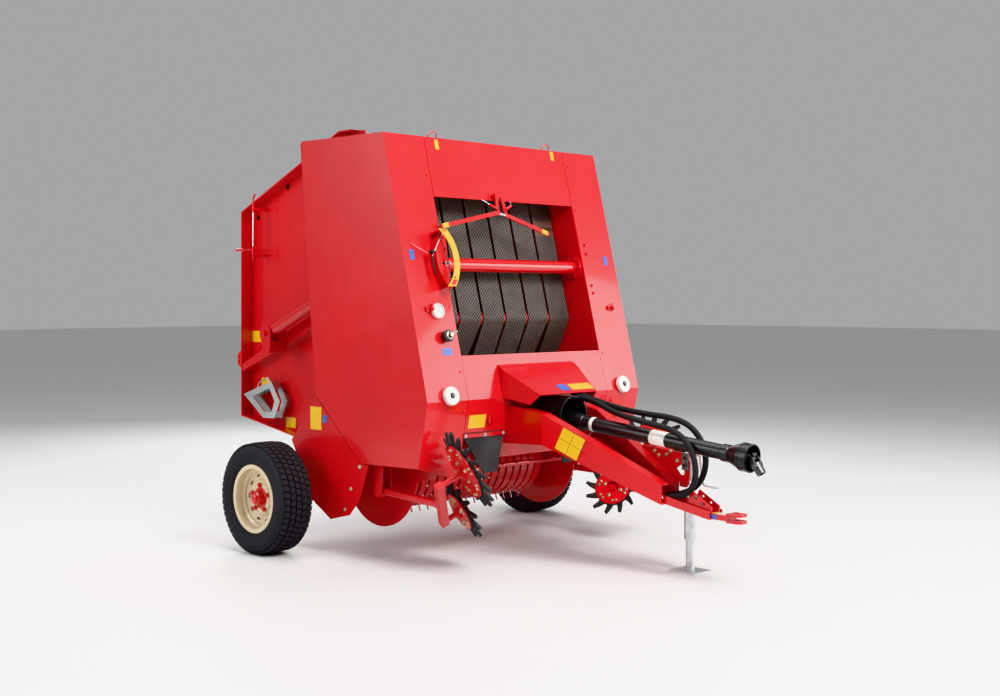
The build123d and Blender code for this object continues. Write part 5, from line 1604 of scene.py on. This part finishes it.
@dataclass
class FlankFittings:
    """Bolts, black discs as painted shade in holes, plates and small parts on the flanks."""

    guard_face: float = 0.9304
    gate_face: float = 0.6183
    lug_face: float = 0.8283
    wall_face: float = 0.658
    # Place along the machine and height of each
    guard_bolts: tuple[Pair, ...] = ((0.610, 0.557), (0.525, 0.419), (0.468, 0.290))
    gate_hole_shade: tuple[Pair, ...] = ((-0.535, 2.301), (-0.875, 2.110))
    gate_bolts: tuple[Pair, ...] = ((-0.925, 1.936), (-0.925, 1.826), (-0.925, 1.020), (-0.925, 0.820))
    lug_bolts: tuple[Pair, ...] = ((-0.560, 1.240), (-0.440, 1.240))
    cylinder_pin: Pair = (-0.496, 1.328)
    hinge_pin: Pair = (0.330, 2.520)
    # Flat black disc that paints the shade inside a hole
    hole_shade_profile: tuple[Pair, ...] = ((0.020, 0.0), (0.020, 0.0012), (0.0, 0.0012))
    lip: tuple[Pair, ...] = ((0.0165, 2.520), (0.0400, 2.520), (0.1960, 0.955), (0.1710, 0.955))
    lip_face: float = 0.9258
    lip_thickness: float = 0.0040
    plate_thickness: float = 0.0010
    # Name, place along the machine, height, (length, height), finish, body
    plates: tuple[tuple[str, float, float, Pair, Finish, str], ...] = (
        ("plate_gate_rear", -0.880, 1.295, (0.130, 0.075), YELLOW, "tailgate"),
        ("plate_gate_low", -0.500, 0.728, (0.105, 0.068), YELLOW, "tailgate"),
        ("plate_guard", 0.183, 0.820, (0.108, 0.140), YELLOW, "frame"),
        ("plate_guard_side", 0.272, 0.820, (0.044, 0.046), BLUE, "frame"),
        ("plate_behind_chock", -0.790, 0.990, (0.090, 0.050), YELLOW, "tailgate"),
    )
    latch_rod: Pair = (-0.790, -0.720)
    rod_rings: tuple[float, ...] = (1.835, 1.865, 2.145, 2.175)
    ring_profile: tuple[Pair, ...] = ((0.0062, -0.004), (0.011, -0.004), (0.011, 0.004), (0.0062, 0.004))
    bright_rod: Pair = (1.910, 2.136)
    grip: tuple[Pair, Pair] = ((-0.985, 1.887), (-0.880, 1.887))

    def build(self) -> None:
        """Builds the fittings."""
        self.bolts()
        self.lips()
        self.blanks()
        self.latch()

    def bolts(self) -> None:
        """Builds the bolts of the lower guards, black discs as painted shade in the tailgate's holes, and the
        tailgate's bolts.
        """
        heads, hole_shade_discs, pins = Piece("guard_bolts"), Piece("gate_hole_shade"), Piece("gate_bolts")
        for side in Side:
            for x, z in self.guard_bolts:
                heads.bolt(self.spot(side, x, z, self.guard_face), 0.015)
            # Black discs painted as the shade inside the tailgate's holes
            for x, z in self.gate_hole_shade:
                hole_shade_discs.turned(self.spot(side, x, z, self.gate_face), self.hole_shade_profile, 24)
            for x, z in self.gate_bolts:
                pins.bolt(self.spot(side, x, z, self.gate_face), 0.016)
            for x, z in self.lug_bolts:
                pins.bolt(self.spot(side, x, z, self.lug_face), 0.016)
            pins.bolt(self.spot(side, *self.cylinder_pin, self.lug_face), 0.036)
            pins.bolt(self.spot(side, *self.hinge_pin, self.wall_face), 0.034)
        heads.done("frame", "zinc_plate", YELLOW_ZINC)
        hole_shade_discs.done("tailgate", "black_plastic", GUARD)
        pins.done("tailgate", "red_paint", RED)

    def spot(self, side: Side, x: float, z: float, face: float) -> Matrix:
        """A frame on a face of one side, that looks away from the machine."""
        return axle_seat(at(x, side.value * face, z), side.out)

    def lips(self) -> None:
        """Builds the stepped lip along the rear edge of each side panel."""
        for side in Side:
            base = -self.lip_thickness if side is Side.RIGHT else 0.0
            lip = Piece(f"panel_lip_{side.tag}")
            lip.plate(flank(0, side.value * self.lip_face, 0), self.lip, self.lip_thickness, base)
            lip.done("frame", "red_paint", RED)

    def blanks(self) -> None:
        """Builds the blank plates on the right flank."""
        for name, x, z, size, finish, body in self.plates:
            face = self.gate_face if body == "tailgate" else self.guard_face
            plate = Piece(name).block(flank(x, -face, z), (*size, self.plate_thickness))
            plate.done(body, "yellow_paint", finish)

    def latch(self) -> None:
        """Builds the grip of the latch lever, rings round its rod and the rod's bright length."""
        x, y = self.latch_rod
        grip = Piece("latch_grip").tube([at(end, y, z) for end, z in self.grip], 0.0105, 14)
        for z in self.rod_rings:
            grip.turned(Matrix.Translation(at(x, y, z)), self.ring_profile, 14)
        grip.done("tailgate", "red_paint", RED)
        rod = Piece("latch_rod_bright").tube([at(x, y, z) for z in self.bright_rod], 0.0066, 14)
        rod.done("tailgate", "zinc_plate", ZINC)


@dataclass
class PickupFittings:
    """Bolts of the press bar, the cable across the bands and the flaps' bars."""

    bar_at: Pair = (0.999, 0.538)
    bar_out: Triple = (0.9, 0, 0.4)
    bar_bolts: int = 11
    bar_pitch: float = 0.125
    # Cable: centre of the bands as (x, z), its radius, half its length, count and depth of its swags
    band_centre: Pair = (0.430, 0.500)
    cable_circle: float = 0.2545
    cable_half: float = 0.52
    cable_step: float = 0.026
    swag_steps: int = 10
    cable_sag: float = 0.028
    cable_angle: float = 27.0
    cable_radius: float = 0.0032
    flap_at: Pair = (0.446, 0.757)
    flap_bar: Triple = (0.342, 0.024, 0.005)
    flap_bolts: tuple[float, ...] = (-0.156, 0.0, 0.156)

    def build(self) -> None:
        """Builds the fittings."""
        bolts = Piece("press_bar_bolts")
        x, z = self.bar_at
        for index in range(self.bar_bolts):
            y = (index - (self.bar_bolts - 1) / 2) * self.bar_pitch
            bolts.bolt(axle_seat(at(x, y, z), Vector(self.bar_out)), 0.012, False)
        bolts.done("pickup", "black_plastic", GUARD)
        Piece("pickup_cable").tube(self.cable(), self.cable_radius, 8).done("pickup", "black_rubber", FINGER)
        self.flaps()

    def cable(self) -> list[Vector]:
        """Lays the cable in swags over the stripper bands.

        Returns:
            The points of its line.
        """
        points = []
        x, z = self.band_centre
        for step in range(41):
            sag = self.cable_sag * abs(math.sin(math.pi * step / self.swag_steps))
            angle = math.radians(self.cable_angle) - sag / 0.25
            y = -self.cable_half + step * self.cable_step
            reach, lift = self.cable_circle * math.cos(angle), self.cable_circle * math.sin(angle)
            points.append(at(x + reach, y, z + lift))
        return points

    def flaps(self) -> None:
        """Builds the bars that hold the flaps, with their bolts."""
        bars, heads = Piece("flap_bars"), Piece("flap_bolts")
        y, z = self.flap_at
        for side in Side:
            place = FRONT.spot(side.value * y, z)
            bars.block(place, self.flap_bar)
            for across in self.flap_bolts:
                heads.bolt(place @ moved(across, 0, self.flap_bar[2]), 0.014)
        bars.done("frame", "red_paint", RED, bevel=0.001)
        heads.done("frame", "zinc_plate", ZINC)


# Studio

@dataclass
class Studio:
    """Floor, lights and the camera at the photograph's place."""

    lens: float = 48.4
    sensor: float = 36.0
    camera_at: Triple = (6.824, -5.972, 1.552)
    camera_turn: float = 45.0
    shift: float = -0.049
    floor_reach: float = 60.0
    surround: tuple[float, float, float, float] = (0.82, 0.83, 0.85, 1)
    surround_strength: float = 0.50
    # Name, place, target, diameter, power
    lamps: tuple[tuple[str, Triple, Triple, float, float], ...] = (
        ("key", (6.2, -1.2, 5.4), (0.8, 0, 1.3), 3.0, 520),
        ("front_sheen", (6.5, 6.0, 2.6), (1.0, 0, 1.2), 4.0, 240),
        ("side_fill", (-2.5, -6.5, 3.4), (0, -0.6, 1.2), 4.0, 230),
        ("back", (-5.5, 3.5, 4.6), (0, 0, 1.2), 4.0, 260),
        ("top", (0.0, 0.0, 7.0), (0, 0, 0), 6.0, 260),
    )

    def build(self) -> None:
        """Sets up the whole studio."""
        self.camera()
        self.floor()
        self.air()
        self.lights()

    def camera(self) -> None:
        """Makes the camera, level and turned 45 degrees to the machine."""
        data = bpy.data.cameras.new("photo_camera")
        data.sensor_width = self.sensor
        data.lens = self.lens
        data.shift_y = self.shift
        data.clip_end = 200
        made = bpy.data.objects.new("photo_camera", data)
        made.location = at(*self.camera_at)
        made.rotation_euler = (math.pi / 2, 0, math.radians(self.camera_turn))
        bpy.context.scene.collection.objects.link(made)
        bpy.context.scene.camera = made

    def floor(self) -> None:
        """Makes a wide pale floor under the machine."""
        data = bpy.data.meshes.new("studio_floor")
        reach = self.floor_reach
        corners = [(-reach, -reach, 0), (reach, -reach, 0), (reach, reach, 0), (-reach, reach, 0)]
        data.from_pydata(corners, [], [(0, 1, 2, 3)])
        data.materials.append(FLOOR.material())
        made = bpy.data.objects.new("studio_floor", data)
        made.location = (0, 0, -0.0005)
        bpy.context.scene.collection.objects.link(made)

    def air(self) -> None:
        """Makes the even pale surround and sets how its tones are shown."""
        world = bpy.data.worlds.new("studio_surround")
        world.use_nodes = True
        sky = world.node_tree.nodes["Background"].inputs
        sky["Color"].default_value = self.surround
        sky["Strength"].default_value = self.surround_strength
        bpy.context.scene.world = world
        bpy.context.scene.view_settings.view_transform = "Khronos PBR Neutral"

    def lights(self) -> None:
        """Makes the large soft lights."""
        for name, place, target, size, power in self.lamps:
            data = bpy.data.lights.new(name, "AREA")
            data.shape = "DISK"
            data.size = size
            data.energy = power
            made = bpy.data.objects.new(name, data)
            made.location = at(*place)
            aim = at(*target) - made.location
            made.rotation_euler = aim.to_track_quat("-Z", "Y").to_euler()
            bpy.context.scene.collection.objects.link(made)


# Whole machine

# Rollers that carry the belts, as (x, z, radius)
FRONT_ROLLERS = ((0.330, 2.520, 0.068), (0.600, 2.360, 0.060), (0.852, 1.430, 0.045), (0.620, 0.990, 0.075))
GATE_ROLLERS = ((0.194, 2.468, 0.050), (-0.800, 2.055, 0.060), (-0.800, 0.872, 0.060), (-0.128, 0.745, 0.060))


def main() -> None:
    """Builds every sub-assembly in order."""
    logging.basicConfig(level=logging.INFO, format="%(name)s: %(message)s")
    Studio().build()
    Hose("hose_near", 1.704, HOSE_NEAR).build()
    Hose("hose_far", 1.644, HOSE_FAR).build()
    Paintwork().apply()
    Belts("front_belts", "frame", FRONT_ROLLERS, leaning=(1, 4), laced=(5, 2.010)).build()
    Belts("tailgate_belts", "tailgate", GATE_ROLLERS).build()
    for side in Side:
        Tyre(side).build()
        WheelFittings(side).build()
        FingerWheel(side, "upper", (1.395, 0.826, 0.590), disc=0.163, reach=0.245, fingers=16).build()
        FingerWheel(side, "lower", (1.207, 0.683, 0.330), disc=0.115, reach=0.188, fingers=12).build()
    for group in (Plates, WindowFittings, Driveline, DrawbarFittings, FlankFittings, PickupFittings):
        group().build()


if __name__ == "__main__":
    main()
    bpy.context.view_layer.update()
